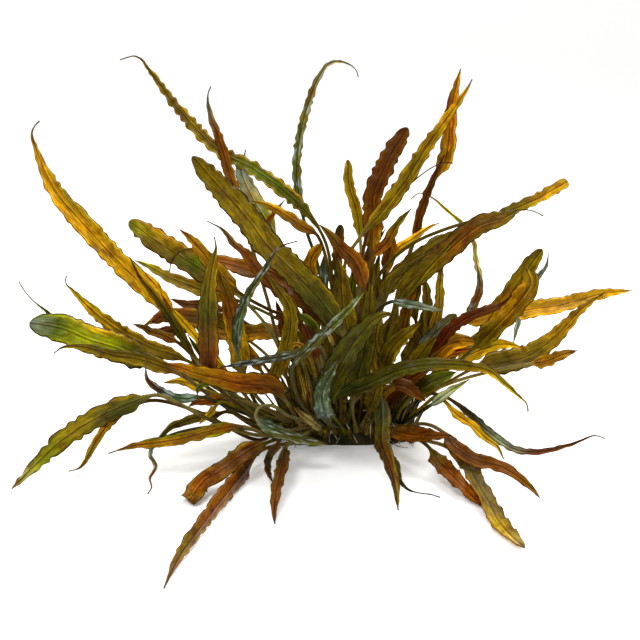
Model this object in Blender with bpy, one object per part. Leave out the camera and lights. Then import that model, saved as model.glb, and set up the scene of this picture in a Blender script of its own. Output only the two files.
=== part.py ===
"""Cryptocoryne undulata, an aquarium plant, cut off flat where it grew from the ground.

Fifty-nine undulate leaves, each one piece from the foot of its stalk to its tip, stand close together
on a low rootstock. Outer leaves arch out and down to the ground, inner ones stand up.
Lengths are millimetres until a mesh is made. +Z is up, -Y is the front.
"""

import collections
import math

import bmesh
import bpy
import numpy as np
from mathutils import kdtree, noise

MM = 0.001

# The rootstock: a low pad, flat below where it was cut and flat above where the leaves stand.
PAD_LONG = 42.0
PAD_DEEP = 19.0
PAD_HIGH = 6.0
PAD_CORNER = 2.5
PAD_LUMP = 3.5
PAD_SIDES = 48
GAP = 0.3

# Leaf stalks and blades. The rise is how high a stalk goes before it turns toward its blade.
STALK_HALF = 1.1
STALK_RISE = 5.0
BLADE_HALF_THICK = 0.5
TIP_HALF = 0.35
FOLD = 0.2
WAVE_HIGH = 1.4
STALK_STEP = 17.0
BLADE_STEP = 7.6

# Width of a blade toward its tip is (1 - share ** a) ** b of its greatest.
TIP_FORMS = {
    "point": (3.2, 0.9),
    "taper": (2.0, 1.0),
    "drawn": (5.0, 1.7),
    "tail": (1.5, 2.0),
    "round": (7.0, 0.55),
    "blunt": (9.0, 0.5),
    "cut": (60.0, 0.4),
}
BLADE_BASE = 0.2

# Where the front view is taken from, which is what the leaf table below is read against.
EYE = np.array((-18.6, -633.3, 221.7))

# How leaves are kept apart: places tested on each leaf, how near two are seen to count as crossing,
# and the room that is left between leaves and above the ground.
STATIONS = 64
REACH = 3.0
ROOM = 2.8
GROUND_ROOM = 1.8
ROUNDS = 120

# Each leaf: name, colour, form of the tip, foot on the pad (x, y), greatest width, the point at which
# the stalk becomes blade, tilt of the blade in degrees, and the points that its midrib passes through.
# A point is (across, up, toward): where it is seen from the front on the upright plane through the
# middle of the plant, and how far it stands in front of that plane.
Leaf = collections.namedtuple("Leaf", "name tone tip foot width start tilt path")

LEAVES = [
    # Left: the long golden leaf with a hooked tip, the folded one before it, and the tall ones.
    Leaf("leaf_01", "amber", "drawn", (-30, 6), 14, 2, 30,
         [(-55, 9, 6), (-94, 47, 24), (-110, 74, 29), (-121, 90, 32), (-142, 112, 34),
          (-162, 135, 30), (-178, 155, 24), (-188, 179, 18), (-190, 191, 16), (-185, 197, 16)]),
    Leaf("leaf_02", "amber", "point", (-31, 1), 5, 1, 25,
         [(-58, 10, 14), (-94, 48, 38), (-113, 79, 46), (-120, 90, 48), (-129, 102, 49),
          (-135, 115, 50)]),
    Leaf("leaf_03", "olive", "drawn", (-11, 4), 10, 2, 30,
         [(-3, 30, -12), (-10, 94, -18), (-16, 126, -22), (-31, 147, -27), (-58, 168, -34),
          (-80.5, 180.5, -38), (-105, 207, -44), (-118, 225, -47), (-126, 234, -48),
          (-136, 232, -48)]),
    Leaf("leaf_04", "russet", "drawn", (-22, 9), 7, 2, 20,
         [(-34, 24, -10), (-51, 88, -16), (-64, 135, -22), (-72, 162, -24), (-79, 187, -26),
          (-83, 198, -27), (-85, 211, -27), (-83, 217, -26)]),
    Leaf("leaf_05", "olive", "round", (-2, -8), 17, 1, 25,
         [(2, 27, 26), (-1, 59, 42), (-14.5, 83, 54), (-33, 104, 61), (-51.5, 123, 65),
          (-61, 136.5, 68), (-83, 162, 70), (-95, 176, 68)]),
    Leaf("leaf_06", "green", "blunt", (-24, 5), 17, 2, 30,
         [(-31, 24, -6), (-50, 69, -16), (-68, 90, -22), (-88.5, 105.5, -26), (-107, 117.5, -28),
          (-119, 125.5, -28), (-134.5, 137, -26)]),
    Leaf("leaf_07", "orange", "tail", (-24, 0), 17, 2, 30,
         [(-20, 27, 0), (-31, 75, 6), (-52, 101.5, 10), (-68, 109, 12), (-83, 113, 12),
          (-95, 119, 12), (-103, 119, 12), (-109, 113, 12), (-111, 106, 12)]),
    Leaf("leaf_08", "orange", "point", (-18, -1), 11, 3, 25,
         [(-24, 30, 4), (-33, 74, 10), (-50, 82, 14), (-68, 92.5, 17), (-81, 106, 19),
          (-90, 117, 22), (-97, 126, 23), (-104, 132, 24)]),
    Leaf("leaf_09", "olive", "drawn", (-31.5, -6.5), 12, 2, 20,
         [(-52, 8, 34), (-72, 22, 52), (-86, 37, 66), (-88, 66, 75), (-86.5, 98, 78),
          (-83.5, 114, 78), (-82, 121, 77), (-83, 127.5, 75)]),
    Leaf("leaf_10", "russet", "drawn", (-8, -5), 8, 1, 25,
         [(-17, 29, 6), (-28, 69, 16), (-40, 89, 22), (-56, 106, 24), (-64, 117, 25),
          (-72, 124, 25), (-78, 132, 25), (-87, 137, 24)]),
    Leaf("leaf_11", "teal", "taper", (-25, -4), 7, 2, 20,
         [(-41, 10, 26), (-60, 28, 44), (-69, 50, 54), (-70, 70, 60), (-64, 89, 66), (-52, 108, 75),
          (-43, 121, 82), (-32, 125, 86)]),
    Leaf("leaf_12", "green", "point", (-17, 6), 11, 3, 30,
         [(-20, 32, -22), (-31, 66, -28), (-50, 79, -30), (-70, 88, -30), (-90, 94, -28),
          (-112.5, 103, -25), (-123, 109, -24), (-132, 113, -22)]),
    Leaf("leaf_13", "orange", "point", (-28, 10), 13, 2, 30,
         [(-17, 24, -34), (-24, 56, -42), (-30, 65, -44), (-50, 68, -46), (-80, 67, -48),
          (-99, 76, -48), (-115, 78, -47), (-131, 70, -45)]),
    Leaf("leaf_14", "amber", "drawn", (-36, 6), 10, 3, 30,
         [(-50, 8, -2), (-72, 27, -2), (-94, 45, 2), (-110, 53, 6), (-122, 57, 9), (-141, 67, 13),
          (-160, 82, 16), (-170, 93, 18), (-175, 99, 18), (-174, 104, 18)]),
    Leaf("leaf_15", "green", "blunt", (-37, 2), 18.5, 3, 25,
         [(-55, 5, 8), (-85, 25, 16), (-106, 41, 24), (-120, 48, 30), (-134.5, 53, 34),
          (-148, 58.5, 37), (-162.5, 63, 39), (-178.5, 70, 40), (-199, 73.5, 40)]),
    Leaf("leaf_16", "russet", "taper", (-37, -2), 10, 2, 20,
         [(-55, 4, 24), (-85, 24, 36), (-106, 40, 46), (-131, 50, 52), (-149, 53, 54),
          (-166, 58, 56), (-179, 58, 56), (-185, 54, 56)]),
    Leaf("leaf_17", "orange", "point", (-26, -8), 14, 1, 25,
         [(-31, 7, 38), (-41, 24, 52), (-51, 33, 62), (-70, 35, 70), (-82, 38, 73), (-94, 41, 75),
          (-106, 45, 76), (-117, 48, 76)]),
    Leaf("leaf_18", "teal", "point", (-32, -2.5), 6, 2, 25,
         [(-48, 9, 26), (-72, 17, 44), (-92, 25.5, 54), (-104, 24.5, 56), (-114, 27, 58),
          (-122, 32, 58), (-127, 37, 58), (-128, 46, 56)]),
    # Lower left and front: leaves that arch over and come down to the ground.
    Leaf("leaf_19", "olive", "point", (-34, -11), 13, 3, 30,
         [(-56, 0, 42), (-85, 9, 58), (-111, 23, 68), (-121, 27, 71), (-132, 24, 74),
          (-159.5, 12, 79), (-182, -2.5, 84), (-200.5, -19.5, 86), (-217, -36, 88)]),
    Leaf("leaf_20", "russet", "drawn", (-36.5, -7), 5, 3, 20,
         [(-57, -3, 28), (-96, 16, 44), (-124, 23.5, 54), (-138, 19, 58), (-154, 6, 60),
          (-162, -5, 62), (-168, -16, 64), (-173, -22, 66), (-180, -24, 66)]),
    Leaf("leaf_21", "orange", "drawn", (-30, -12), 8, 1, 25,
         [(-44, -2, 44), (-68, 6, 56), (-84, 4, 62), (-97, 0.5, 66), (-111, -3, 70), (-124, -5, 73),
          (-138, -7, 76), (-154, -12, 78)]),
    Leaf("leaf_22", "olive", "cut", (-26, -13), 11.5, 1, 30,
         [(-36, 1, 46), (-48, -3, 57), (-62.5, -9, 72), (-71.5, -15, 82), (-82, -23.5, 88),
          (-92.5, -30, 94), (-103.5, -45, 100)]),
    Leaf("leaf_23", "olive", "point", (-21, -11), 10, 1, 30,
         [(-31.5, -3, 36), (-56, -10, 52), (-67, -24, 68), (-76.5, -35.5, 96), (-93.5, -58, 134),
          (-112, -85, 170), (-121.5, -106, 192)]),
    Leaf("leaf_24", "green", "point", (-17, -13), 8.5, 1, 25,
         [(-29, 1, 36), (-40, -7, 52), (-42, -17, 74), (-44, -26, 92), (-46.5, -36, 106),
          (-48, -49, 124), (-48, -60, 136)]),
    Leaf("leaf_25", "teal", "point", (-14, -13), 10, 3, 30,
         [(-40, 14, 44), (-49, 20, 54), (-58, 18, 60), (-59, 12, 62), (-52, 6, 64), (-36, -1, 66),
          (-25, -4, 66), (-13, -6, 66)]),
    Leaf("leaf_26", "teal", "drawn", (-13, 9), 13, 3, 25,
         [(-12, 27, -24), (-28, 82, -40), (-40, 116, -50), (-45, 127, -55), (-53, 140, -58),
          (-59, 150, -60), (-64, 161, -60), (-66, 168, -60), (-64, 176, -60), (-63, 180, -59)]),
    Leaf("leaf_27", "olive", "point", (-19, -5), 15, 1, 25,
         [(-55, 17, 20), (-66, 40, 30), (-70, 63, 36), (-73, 78, 38), (-76, 91, 39),
          (-81, 105, 38)]),
    Leaf("leaf_28", "green", "point", (-13, -5), 12, 1, 25,
         [(-31, 16, 22), (-46, 30, 30), (-46, 42, 33), (-40, 56, 36), (-37, 72, 37), (-38, 84, 36),
          (-44, 94, 34), (-52, 105, 33)]),
    Leaf("leaf_29", "olive", "point", (11, -13), 10.5, 1, 25,
         [(18, 17, 40), (20, 25, 56), (21, 10, 76), (21, -4, 90), (25, -16, 102), (29.5, -31, 114),
          (31, -42, 121), (32, -51, 124)]),
    Leaf("leaf_30", "russet", "point", (18, -13), 13, 0, 30,
         [(25, 4, 38), (38, 1, 50), (50, 0, 60), (65, 0, 68)]),
    Leaf("leaf_31", "olive", "point", (24, -12), 11, 1, 25,
         [(40, 0, 40), (50, -7, 58), (58, -18, 78), (73, -34, 100), (87, -49, 116)]),
    Leaf("leaf_32", "amber", "round", (29, -11), 10.5, 1, 30,
         [(45, -2, 38), (61, -7, 56), (75, -18, 80), (82, -31, 100), (89.7, -44.5, 118),
          (96.7, -57.5, 134), (104.7, -67.5, 146), (115, -77, 156)]),
    Leaf("leaf_33", "russet", "point", (26, -8), 9.5, 2, 25,
         [(35, 5, 36), (45, 8, 48), (54, 6, 58), (62, 0, 66), (68, -8, 72), (82, -17, 82),
          (95, -20, 88), (107.5, -27, 94), (117, -35, 98), (123, -42, 100)]),
    # Right: leaves that reach out low and long.
    Leaf("leaf_34", "russet", "taper", (19, -8), 6, 3, 25,
         [(29, 14, 14), (37, 25, 24), (49, 28, 30), (60, 26, 34), (76, 14.5, 40), (87, 4, 44),
          (105.5, -9, 48), (119, -11, 50), (131, -9, 50), (144, -5, 50), (156, 0, 48),
          (163, -2, 46)]),
    Leaf("leaf_35", "yellow", "point", (33, -7), 6, 3, 25,
         [(31, 5, 20), (45, 18, 32), (55, 26, 40), (60, 23, 44), (68, 14, 48), (78, 7, 50),
          (86.5, -1.5, 52), (94.5, -7.5, 54), (99, -16, 56)]),
    Leaf("leaf_36", "green", "taper", (-3, -13), 10.5, 0, 25,
         [(-12, 22, 64), (0, 30, 72), (11, 34, 78), (32, 43.5, 86), (53, 47, 90), (77, 45.5, 92),
          (87, 43, 92), (96, 36, 90), (107, 26, 88), (112, 21, 86), (113, 16, 85)]),
    Leaf("leaf_37", "amber", "taper", (26, 1), 20, 2, 30,
         [(32, 14, -10), (57, 32, -18), (75, 43, -22), (84, 46, -24), (110, 52, -30),
          (127, 64, -34), (143, 82, -38), (157, 93, -40)]),
    Leaf("leaf_38", "yellow", "point", (26, 8), 15, 2, 30,
         [(34, 20, -34), (63, 53, -52), (87, 72, -62), (106, 81, -68), (130, 85, -74),
          (153, 91.5, -78), (166, 93.5, -80), (174, 94, -80)]),
    Leaf("leaf_39", "russet", "blunt", (18, -4), 12, 3, 25,
         [(23, 17, 0), (38, 38, 8), (51, 57, 16), (66, 72, 22), (91, 82, 26), (101, 95, 28),
          (110, 109.5, 30), (117, 120, 30)]),
    Leaf("leaf_40", "olive", "blunt", (22, -7), 14, 3, 25,
         [(31, 16, 12), (47, 33, 18), (66, 47, 24), (76, 56, 28), (91, 72, 33), (100, 82, 36),
          (107, 91, 38), (111, 99, 38), (108, 108, 38)]),
    Leaf("leaf_41", "orange", "taper", (18, 9), 4.5, 2, 20,
         [(24, 20, -28), (47, 48, -36), (72, 77, -44), (78, 89, -48), (80, 99, -50), (77, 112, -52),
          (75, 124, -54), (70, 133, -55), (58, 144, -56), (48, 152, -56), (41, 154, -56),
          (36, 150, -56)]),
    Leaf("leaf_42", "olive", "cut", (3, -1), 7.5, 5, 30,
         [(5, 30, -10), (11, 75, -12), (18, 104, -12), (36, 122, -10), (60, 133, -8), (86, 140, -6),
          (100, 145, -6), (113, 151, -5), (130.5, 161, -4)]),
    Leaf("leaf_43", "olive", "round", (13, -5), 14, 2, 30,
         [(17, 34, 8), (21, 59, 18), (27, 82, 24), (35, 97, 28), (47, 108, 31), (62, 121, 34),
          (77.5, 134, 36), (95, 140, 38), (100, 143, 38)]),
    # Upright leaves of the middle.
    Leaf("leaf_44", "orange", "point", (10, 9), 11, 5, 25,
         [(16, 27, -30), (28, 82, -40), (37, 122, -46), (42, 139, -47), (47, 152.5, -48),
          (50, 161, -49), (57, 176, -50), (59.5, 205, -50), (64, 227, -49)]),
    Leaf("leaf_45", "amber", "point", (-5, -1), 11, 3, 25,
         [(2, 29, -2), (-3, 75, 2), (-3, 112, 6), (5, 126, 8), (20, 144, 10), (32.5, 161, 11),
          (44.5, 180.5, 12), (55.8, 197, 12), (68, 215, 12), (71, 221, 12)]),
    Leaf("leaf_46", "russet", "blunt", (-3, 4), 13, 2, 20,
         [(10, 27, -18), (12, 75, -24), (13, 113, -28), (13.5, 139, -30), (13.5, 153, -31),
          (19, 167, -32), (24, 177.5, -33), (33.5, 193, -34)]),
    Leaf("leaf_47", "yellow", "blunt", (3, 5), 7, 2, 20,
         [(7, 27, -24), (7, 88, -36), (6, 125, -40), (3, 145, -42), (-1, 158, -43),
          (-2, 174, -42)]),
    Leaf("leaf_48", "teal", "drawn", (-6, 9), 6, 3, 20,
         [(-7, 29, -26), (-14, 82, -34), (-21, 114, -38), (-27, 132, -39), (-32.5, 165, -41),
          (-31, 185, -42), (-26, 205, -42), (-20, 221, -42), (-13, 230, -42), (-6, 231, -42),
          (2, 227, -41), (4, 222, -40)]),
    Leaf("leaf_49", "russet", "blunt", (-12, -1), 7, 2, 20,
         [(-4, 27, 2), (-9, 75, 4), (-9, 104, 4), (-8, 114, 4), (-7, 126, 3), (-6, 135, 2)]),
    Leaf("leaf_50", "orange", "point", (5, -9), 11, 2, 25,
         [(8, 27, 20), (11, 63, 34), (9, 94, 42), (3, 112, 48), (-4, 119, 50), (-11, 127, 52),
          (-19, 135, 52)]),
    Leaf("leaf_51", "olive", "point", (4, -13), 14, 0, 20,
         [(2, 20, 40), (6, 43, 56), (11, 66, 68), (12, 84, 74), (13, 101, 78)]),
    Leaf("leaf_52", "teal", "point", (-13, -9), 7, 1, 20,
         [(-32, 24, 60), (-36, 45, 74), (-30, 53, 78), (-18, 65, 84), (-4, 79, 90), (4, 88, 92),
          (10, 96, 94)]),
    Leaf("leaf_53", "teal", "point", (-8, -9), 6, 2, 25,
         [(-17, 24, 52), (-15, 50, 66), (-19, 59, 70), (-25, 56, 71), (-37, 53, 72), (-57, 49, 72),
          (-81, 45, 70)]),
    Leaf("leaf_54", "olive", "point", (-8, -13), 18, 0, 20,
         [(-19, 18, 58), (-10, 39, 76), (1, 59, 88), (8, 68, 93), (14, 75, 96), (21, 79, 98),
          (28, 79, 98)]),
    Leaf("leaf_55", "teal", "point", (6, -5), 6, 3, 25,
         [(8, 27, 16), (14, 63, 30), (17, 81, 38), (25, 87, 42), (33, 86, 44), (44, 84, 46),
          (57, 81, 48)]),
    Leaf("leaf_56", "olive", "point", (12, -9), 12, 1, 25,
         [(18, 17, 22), (22, 43, 34), (24, 53, 40), (29, 61, 44), (37, 68, 47), (44, 74, 50)]),
    Leaf("leaf_57", "amber", "point", (25, -4), 8, 2, 25,
         [(29, 18, -4), (41, 45, -8), (49, 65, -10), (53, 76, -11), (55, 87, -12), (55, 97, -12),
          (56, 115, -12)]),
    Leaf("leaf_58", "russet", "blunt", (9, -1), 8, 2, 20,
         [(14, 24, -14), (19, 75, -22), (21, 106, -26), (24, 118, -28), (25, 129, -28)]),
    Leaf("leaf_59", "orange", "point", (-1, -5), 7, 2, 25,
         [(4, 33, 14), (7, 88, 24), (13, 114, 28), (22, 124, 29), (29, 136, 29),
          (36.5, 144.5, 28)]),
]

# Colour and roughness of each finish.
FINISHES = {
    "amber": ((0.46, 0.24, 0.03), 0.42),
    "orange": ((0.30, 0.10, 0.01), 0.42),
    "olive": ((0.17, 0.11, 0.01), 0.45),
    "green": ((0.16, 0.19, 0.02), 0.42),
    "teal": ((0.08, 0.12, 0.09), 0.48),
    "russet": ((0.13, 0.04, 0.01), 0.42),
    "yellow": ((0.58, 0.38, 0.04), 0.42),
    "rootstock": ((0.06, 0.045, 0.025), 0.8),
}


def clear_scene():
    for thing in list(bpy.data.objects):
        bpy.data.objects.remove(thing, do_unlink=True)


def finish(name):
    colour, roughness = FINISHES[name]
    material = bpy.data.materials.get(name) or bpy.data.materials.new(name)
    material.use_nodes = True
    shader = material.node_tree.nodes["Principled BSDF"]
    shader.inputs["Base Color"].default_value = (*colour, 1.0)
    shader.inputs["Roughness"].default_value = roughness
    return material


def add_object(name, bm, material):
    """The object of a closed mesh, its faces turned outward."""
    bmesh.ops.recalc_face_normals(bm, faces=bm.faces)
    mesh = bpy.data.meshes.new(name)
    bm.to_mesh(mesh)
    bm.free()
    mesh.shade_smooth()
    mesh.set_sharp_from_angle(angle=math.radians(40))
    mesh.materials.append(material)
    thing = bpy.data.objects.new(name, mesh)
    bpy.context.scene.collection.objects.link(thing)
    return thing


def unit(vectors):
    return vectors / np.maximum(np.linalg.norm(vectors, axis=-1, keepdims=True), 1e-9)


def dot(a, b):
    return np.sum(a * b, axis=-1, keepdims=True)


def place(seen):
    """World positions of (across, up, toward) points."""
    plane = np.stack([seen[..., 0], np.zeros(seen.shape[:-1]), seen[..., 1]], axis=-1)
    return EYE + (plane - EYE) * (1 + seen[..., 2:3] / EYE[1])


def seen_from_front(positions):
    """The (across, up, toward) of world positions."""
    toward = -positions[..., 1:2]
    plane = EYE + (positions - EYE) / (1 + toward / EYE[1])
    return np.concatenate([plane[..., [0, 2]], toward], axis=-1)


def curve_through(points, per_span):
    """A smooth curve through the points, a centripetal Catmull-Rom spline, with its ends included."""
    points = np.array(points, float)
    ends = np.vstack([2 * points[0] - points[1], points, 2 * points[-1] - points[-2]])
    knots = np.concatenate([[0], np.cumsum(np.sqrt(np.linalg.norm(np.diff(ends, axis=0), axis=1)))])
    out = []
    for i in range(1, len(ends) - 2):
        p0, p1, p2, p3 = ends[i - 1: i + 3]
        t0, t1, t2, t3 = knots[i - 1: i + 3]
        t = np.linspace(t1, t2, per_span, endpoint=False)[:, None]
        a1 = ((t1 - t) * p0 + (t - t0) * p1) / (t1 - t0)
        a2 = ((t2 - t) * p1 + (t - t1) * p2) / (t2 - t1)
        a3 = ((t3 - t) * p2 + (t - t2) * p3) / (t3 - t2)
        b1 = ((t2 - t) * a1 + (t - t0) * a2) / (t2 - t0)
        b2 = ((t3 - t) * a2 + (t - t1) * a3) / (t3 - t1)
        out.append(((t2 - t) * b1 + (t - t1) * b2) / (t2 - t1))
    return np.vstack([*out, points[-1:]])


def lengths_along(positions):
    steps = np.linalg.norm(np.diff(positions, axis=-2), axis=-1)
    return np.concatenate([np.zeros((*steps.shape[:-1], 1)), np.cumsum(steps, axis=-1)], axis=-1)


def at_lengths(seen, wanted):
    """The points of one curve at the wanted distances from its foot."""
    along = lengths_along(place(seen))
    return np.stack([np.interp(wanted, along, seen[:, i]) for i in range(3)], axis=1)


def half_widths(leaves, along, base):
    """Half the width of each leaf at each distance from its foot."""
    width, power, fullness = (np.array(column)[:, None] for column in zip(
        *((leaf.width, *TIP_FORMS[leaf.tip]) for leaf in leaves)))
    share = np.clip((along - base) / (along[:, -1:] - base), 0, 1)
    blade = width / 2 * np.minimum(1, share / BLADE_BASE) ** 0.6 * (1 - share ** power) ** fullness
    return np.maximum(blade, np.where(share < 0.3, STALK_HALF, TIP_HALF))


def directions(positions, tilts):
    """Unit vectors along each leaf, across its blade and out of its face.

    The blade faces the front, turned by its tilt so that it also faces up. Where a leaf points
    straight at the front, the direction across is carried on from the point before.
    """
    ahead = unit(np.gradient(positions, axis=1))
    to_eye = unit(EYE - positions)
    square = np.cross(ahead, to_eye)
    across = np.zeros_like(ahead)
    across[:, 0] = unit(square[:, 0])
    for k in range(1, positions.shape[1]):
        carried = across[:, k - 1] - ahead[:, k] * dot(across[:, k - 1], ahead[:, k])
        turn = np.where(dot(square[:, k], carried) < 0, -1.0, 1.0)
        mixed = turn * square[:, k] * np.linalg.norm(square[:, k], axis=-1, keepdims=True) + 0.12 * unit(carried)
        across[:, k] = unit(mixed - ahead[:, k] * dot(mixed, ahead[:, k]))
    face = np.cross(across, ahead)
    face *= np.where(dot(face[:, :1], to_eye[:, :1]) < 0, -1.0, 1.0)
    angle = np.radians(np.array(tilts, float))[:, None, None]
    middle = 2 * positions.shape[1] // 3
    up = np.cos(angle) * face - np.sin(angle) * across
    down = np.cos(angle) * face + np.sin(angle) * across
    angle = np.where((up[:, middle, 2] >= down[:, middle, 2])[:, None, None], angle, -angle)
    return (ahead, np.cos(angle) * across + np.sin(angle) * face,
            np.cos(angle) * face - np.sin(angle) * across)


class Midribs:
    """The midribs of all leaves, each as evenly spaced points that may move toward the front or back."""

    def __init__(self, leaves):
        self.leaves = leaves
        self.tilts = [leaf.tilt for leaf in leaves]
        curves, shares = [], []
        for leaf in leaves:
            foot = np.array((*leaf.foot, PAD_HIGH + GAP))
            turn = place(np.array(leaf.path[0], float))
            rise = foot + (turn - foot) * (0.15, 0.15, 0) + (0, 0, STALK_RISE)
            curve = curve_through([seen_from_front(foot), seen_from_front(rise), *leaf.path], 24)
            along = lengths_along(place(curve))
            shares.append(along[24 * (leaf.start + 2)] / along[-1])
            curves.append(at_lengths(curve, np.linspace(0, along[-1], STATIONS)))
        self.seen = np.array(curves)
        self.base_shares = np.array(shares)[:, None]
        self.refresh()

    def refresh(self):
        self.positions = place(self.seen)
        self.along = lengths_along(self.positions)
        self.base = self.base_shares * self.along[:, -1:]
        self.half = half_widths(self.leaves, self.along, self.base)
        self.ahead, self.across, self.face = directions(self.positions, self.tilts)


SHARES = np.array((-1.0, -0.5, 0.0, 0.5, 1.0))


def samples(midribs):
    """Points over every blade: where each is seen, how far toward it is, and the slope of that there."""
    reach = midribs.half[..., None] * SHARES
    points = midribs.positions[:, :, None] + midribs.across[:, :, None] * reach[..., None]
    seen = seen_from_front(points.reshape(-1, 3))
    a, b = midribs.ahead, midribs.across
    area = a[..., 0] * b[..., 2] - a[..., 2] * b[..., 0]
    area = np.where(np.abs(area) < 0.25, np.copysign(0.25, area), area)
    slope = np.stack([b[..., 1] * a[..., 2] - a[..., 1] * b[..., 2],
                      a[..., 1] * b[..., 0] - b[..., 1] * a[..., 0]], axis=-1) / area[..., None]
    slope = np.repeat(np.clip(slope, -2.0, 2.0).reshape(-1, 2), len(SHARES), axis=0)
    return seen[:, :2], seen[:, 2], slope


def crossings(seen, owner):
    """Every pair of sample points of two leaves that are seen in the same place."""
    tree = kdtree.KDTree(len(seen))
    for i, (x, z) in enumerate(seen):
        tree.insert((x, z, 0.0), i)
    tree.balance()
    pairs = [
        (i, j)
        for i, (x, z) in enumerate(seen)
        for _, j, _ in tree.find_range((x, z, 0.0), REACH)
        if owner[j] > owner[i]
    ]
    return np.array(pairs).T


def depth_between(midribs, first, second):
    """How far the first sample of each pair stands in front of the second, at the same place seen."""
    seen, toward, slope = samples(midribs)
    lean = 0.5 * np.sum((slope[first] + slope[second]) * (seen[first] - seen[second]), axis=1)
    return toward[first] - toward[second] - lean


def front_or_back(owner, station, first, second, depth):
    """For each pair, 1 if its first leaf stays in front there and -1 if it stays behind.

    The pairs of two leaves that follow one another along the first leaf are one crossing.
    """
    order = np.lexsort((station[first], owner[second], owner[first]))
    one, two, where = owner[first][order], owner[second][order], station[first][order]
    new = (np.diff(one) != 0) | (np.diff(two) != 0) | (np.abs(np.diff(where)) > 2)
    starts = np.concatenate([[0], np.flatnonzero(new) + 1])
    counts = np.diff([*starts, len(order)])
    total = np.add.reduceat(depth[order], starts)
    way = np.ones(len(order))
    way[order] = np.repeat(np.where(total >= 0, 1.0, -1.0), counts)
    return way


def ground_limit(midribs):
    """The least toward that keeps each point of a leaf above the ground and above the pad."""
    x, y = midribs.positions[..., 0], midribs.positions[..., 1]
    over_pad = (np.abs(x) < PAD_LONG + 4) & (np.abs(y) < PAD_DEEP + 4)
    height = np.where(over_pad, PAD_HIGH + STALK_HALF, 0.0) + GROUND_ROOM
    height = height + midribs.half * np.abs(midribs.across[..., 2])
    limit = -EYE[1] * (1 - (EYE[2] - height) / np.maximum(EYE[2] - midribs.seen[..., 1], 1.0))
    return np.where(midribs.along < 14, -1e3, limit)


def spread(push, width=2.5):
    """The push smoothed along each leaf, so that it bends and doesn't kink."""
    reach = np.arange(-8, 9)
    weight = np.exp(-0.5 * (reach / width) ** 2)
    padded = np.pad(push, ((0, 0), (8, 8)), mode="edge")
    windows = np.lib.stride_tricks.sliding_window_view(padded, len(reach), axis=1)
    return windows @ (weight / weight.sum())


def keep_apart(midribs):
    """Moves leaves that would touch toward the front or the back, until each has room."""
    seen, _, _ = samples(midribs)
    place_of = np.repeat(np.arange(midribs.half.size), len(SHARES))
    owner, station = np.divmod(place_of, STATIONS)
    first, second = crossings(seen, owner)
    depth = depth_between(midribs, first, second)
    way = front_or_back(owner, station, first, second, depth)
    near = midribs.along.ravel()[place_of]
    apart_already = np.minimum(near[first], near[second]) < 12
    held = np.clip(midribs.along / 30, 0, 1)
    for turn in range(ROUNDS):
        depth = depth_between(midribs, first, second) * way
        short = np.where(apart_already, 0.0, np.maximum(0.0, ROOM - depth))
        push = way * short * 0.5
        forward = np.zeros(midribs.half.size)
        backward = np.zeros(midribs.half.size)
        for ends, way_out in ((first, push), (second, -push)):
            np.maximum.at(forward, place_of[ends], way_out)
            np.minimum.at(backward, place_of[ends], way_out)
        moves = spread((forward + backward).reshape(midribs.half.shape)) * held
        midribs.seen[..., 2] = np.maximum(midribs.seen[..., 2] + moves, ground_limit(midribs))
        midribs.refresh()
    print("leaves kept apart; places still short of room:", int((short > 0.5).sum()))
    return midribs


def leaf_stations(midribs, number):
    """Distances from the foot at which a leaf's section is set out: closer on the blade."""
    base, length = midribs.base[number, 0], midribs.along[number, -1]
    stalk_steps = max(3, round(base / STALK_STEP))
    blade_steps = max(7, round((length - base) / BLADE_STEP))
    wanted = np.concatenate([
        np.linspace(0, base, stalk_steps, endpoint=False),
        np.linspace(base, length, blade_steps + 1),
    ])
    if midribs.leaves[number].tip in ("blunt", "cut"):
        wanted[-2] = length - 1.5
    return wanted


def leaf_rings(midribs, number):
    """The corners of a leaf's section at each station: left edge, upper rib, right edge, lower rib."""
    leaf = midribs.leaves[number]
    wanted = leaf_stations(midribs, number)
    seen = at_lengths(curve_through(midribs.seen[number], 6), wanted)
    positions = place(seen)
    base, length = midribs.base[number, 0], wanted[-1]
    half = half_widths([leaf], wanted[None], base)[0]
    ahead, across, face = (part[0] for part in directions(positions[None], [leaf.tilt]))
    rings = []
    for k, middle in enumerate(positions):
        share = max(0.0, (wanted[k] - base) / (length - base))
        flat = min(1.0, share / 0.15)
        thick = STALK_HALF + (BLADE_HALF_THICK - STALK_HALF) * flat
        wave = WAVE_HIGH * flat * min(1.0, half[k] / 4) * (1 if k % 2 else -1)
        lift = FOLD * half[k] * flat / 2
        left_wave = wave * (0.7 + 0.5 * noise.noise((k * 0.7, number, 0.0)))
        right_wave = wave * (0.7 + 0.5 * noise.noise((k * 0.7, number, 9.0)))
        rings.append([
            middle - across[k] * half[k] + face[k] * (lift + left_wave),
            middle + face[k] * (thick - lift),
            middle + across[k] * half[k] + face[k] * (lift - right_wave),
            middle - face[k] * (thick + lift),
        ])
    for corner in rings[0]:
        corner[2] = PAD_HIGH + GAP
    return rings, positions[-1]


def leaf_solid(midribs, number):
    """A loft through the rings, in triangles.

    The upper and the lower face are split along the same diagonals, from an edge to the next rib
    corner, so that they can't pass through each other at the thin waved edge.
    """
    rings, tip_at = leaf_rings(midribs, number)
    bm = bmesh.new()
    rows = [[bm.verts.new(corner * MM) for corner in ring] for ring in rings[:-1]]
    tip = bm.verts.new(tip_at * MM)
    for low, high in zip(rows, rows[1:]):
        for edge in (0, 2):
            before, after = (edge - 1) % 4, edge + 1
            bm.faces.new((low[edge], low[after], high[after]))
            bm.faces.new((low[edge], high[after], high[edge]))
            bm.faces.new((low[before], low[edge], high[before]))
            bm.faces.new((low[edge], high[edge], high[before]))
    bm.faces.new(rows[0][::-1])
    for i in range(4):
        bm.faces.new((rows[-1][i], rows[-1][(i + 1) % 4], tip))
    return bm


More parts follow.
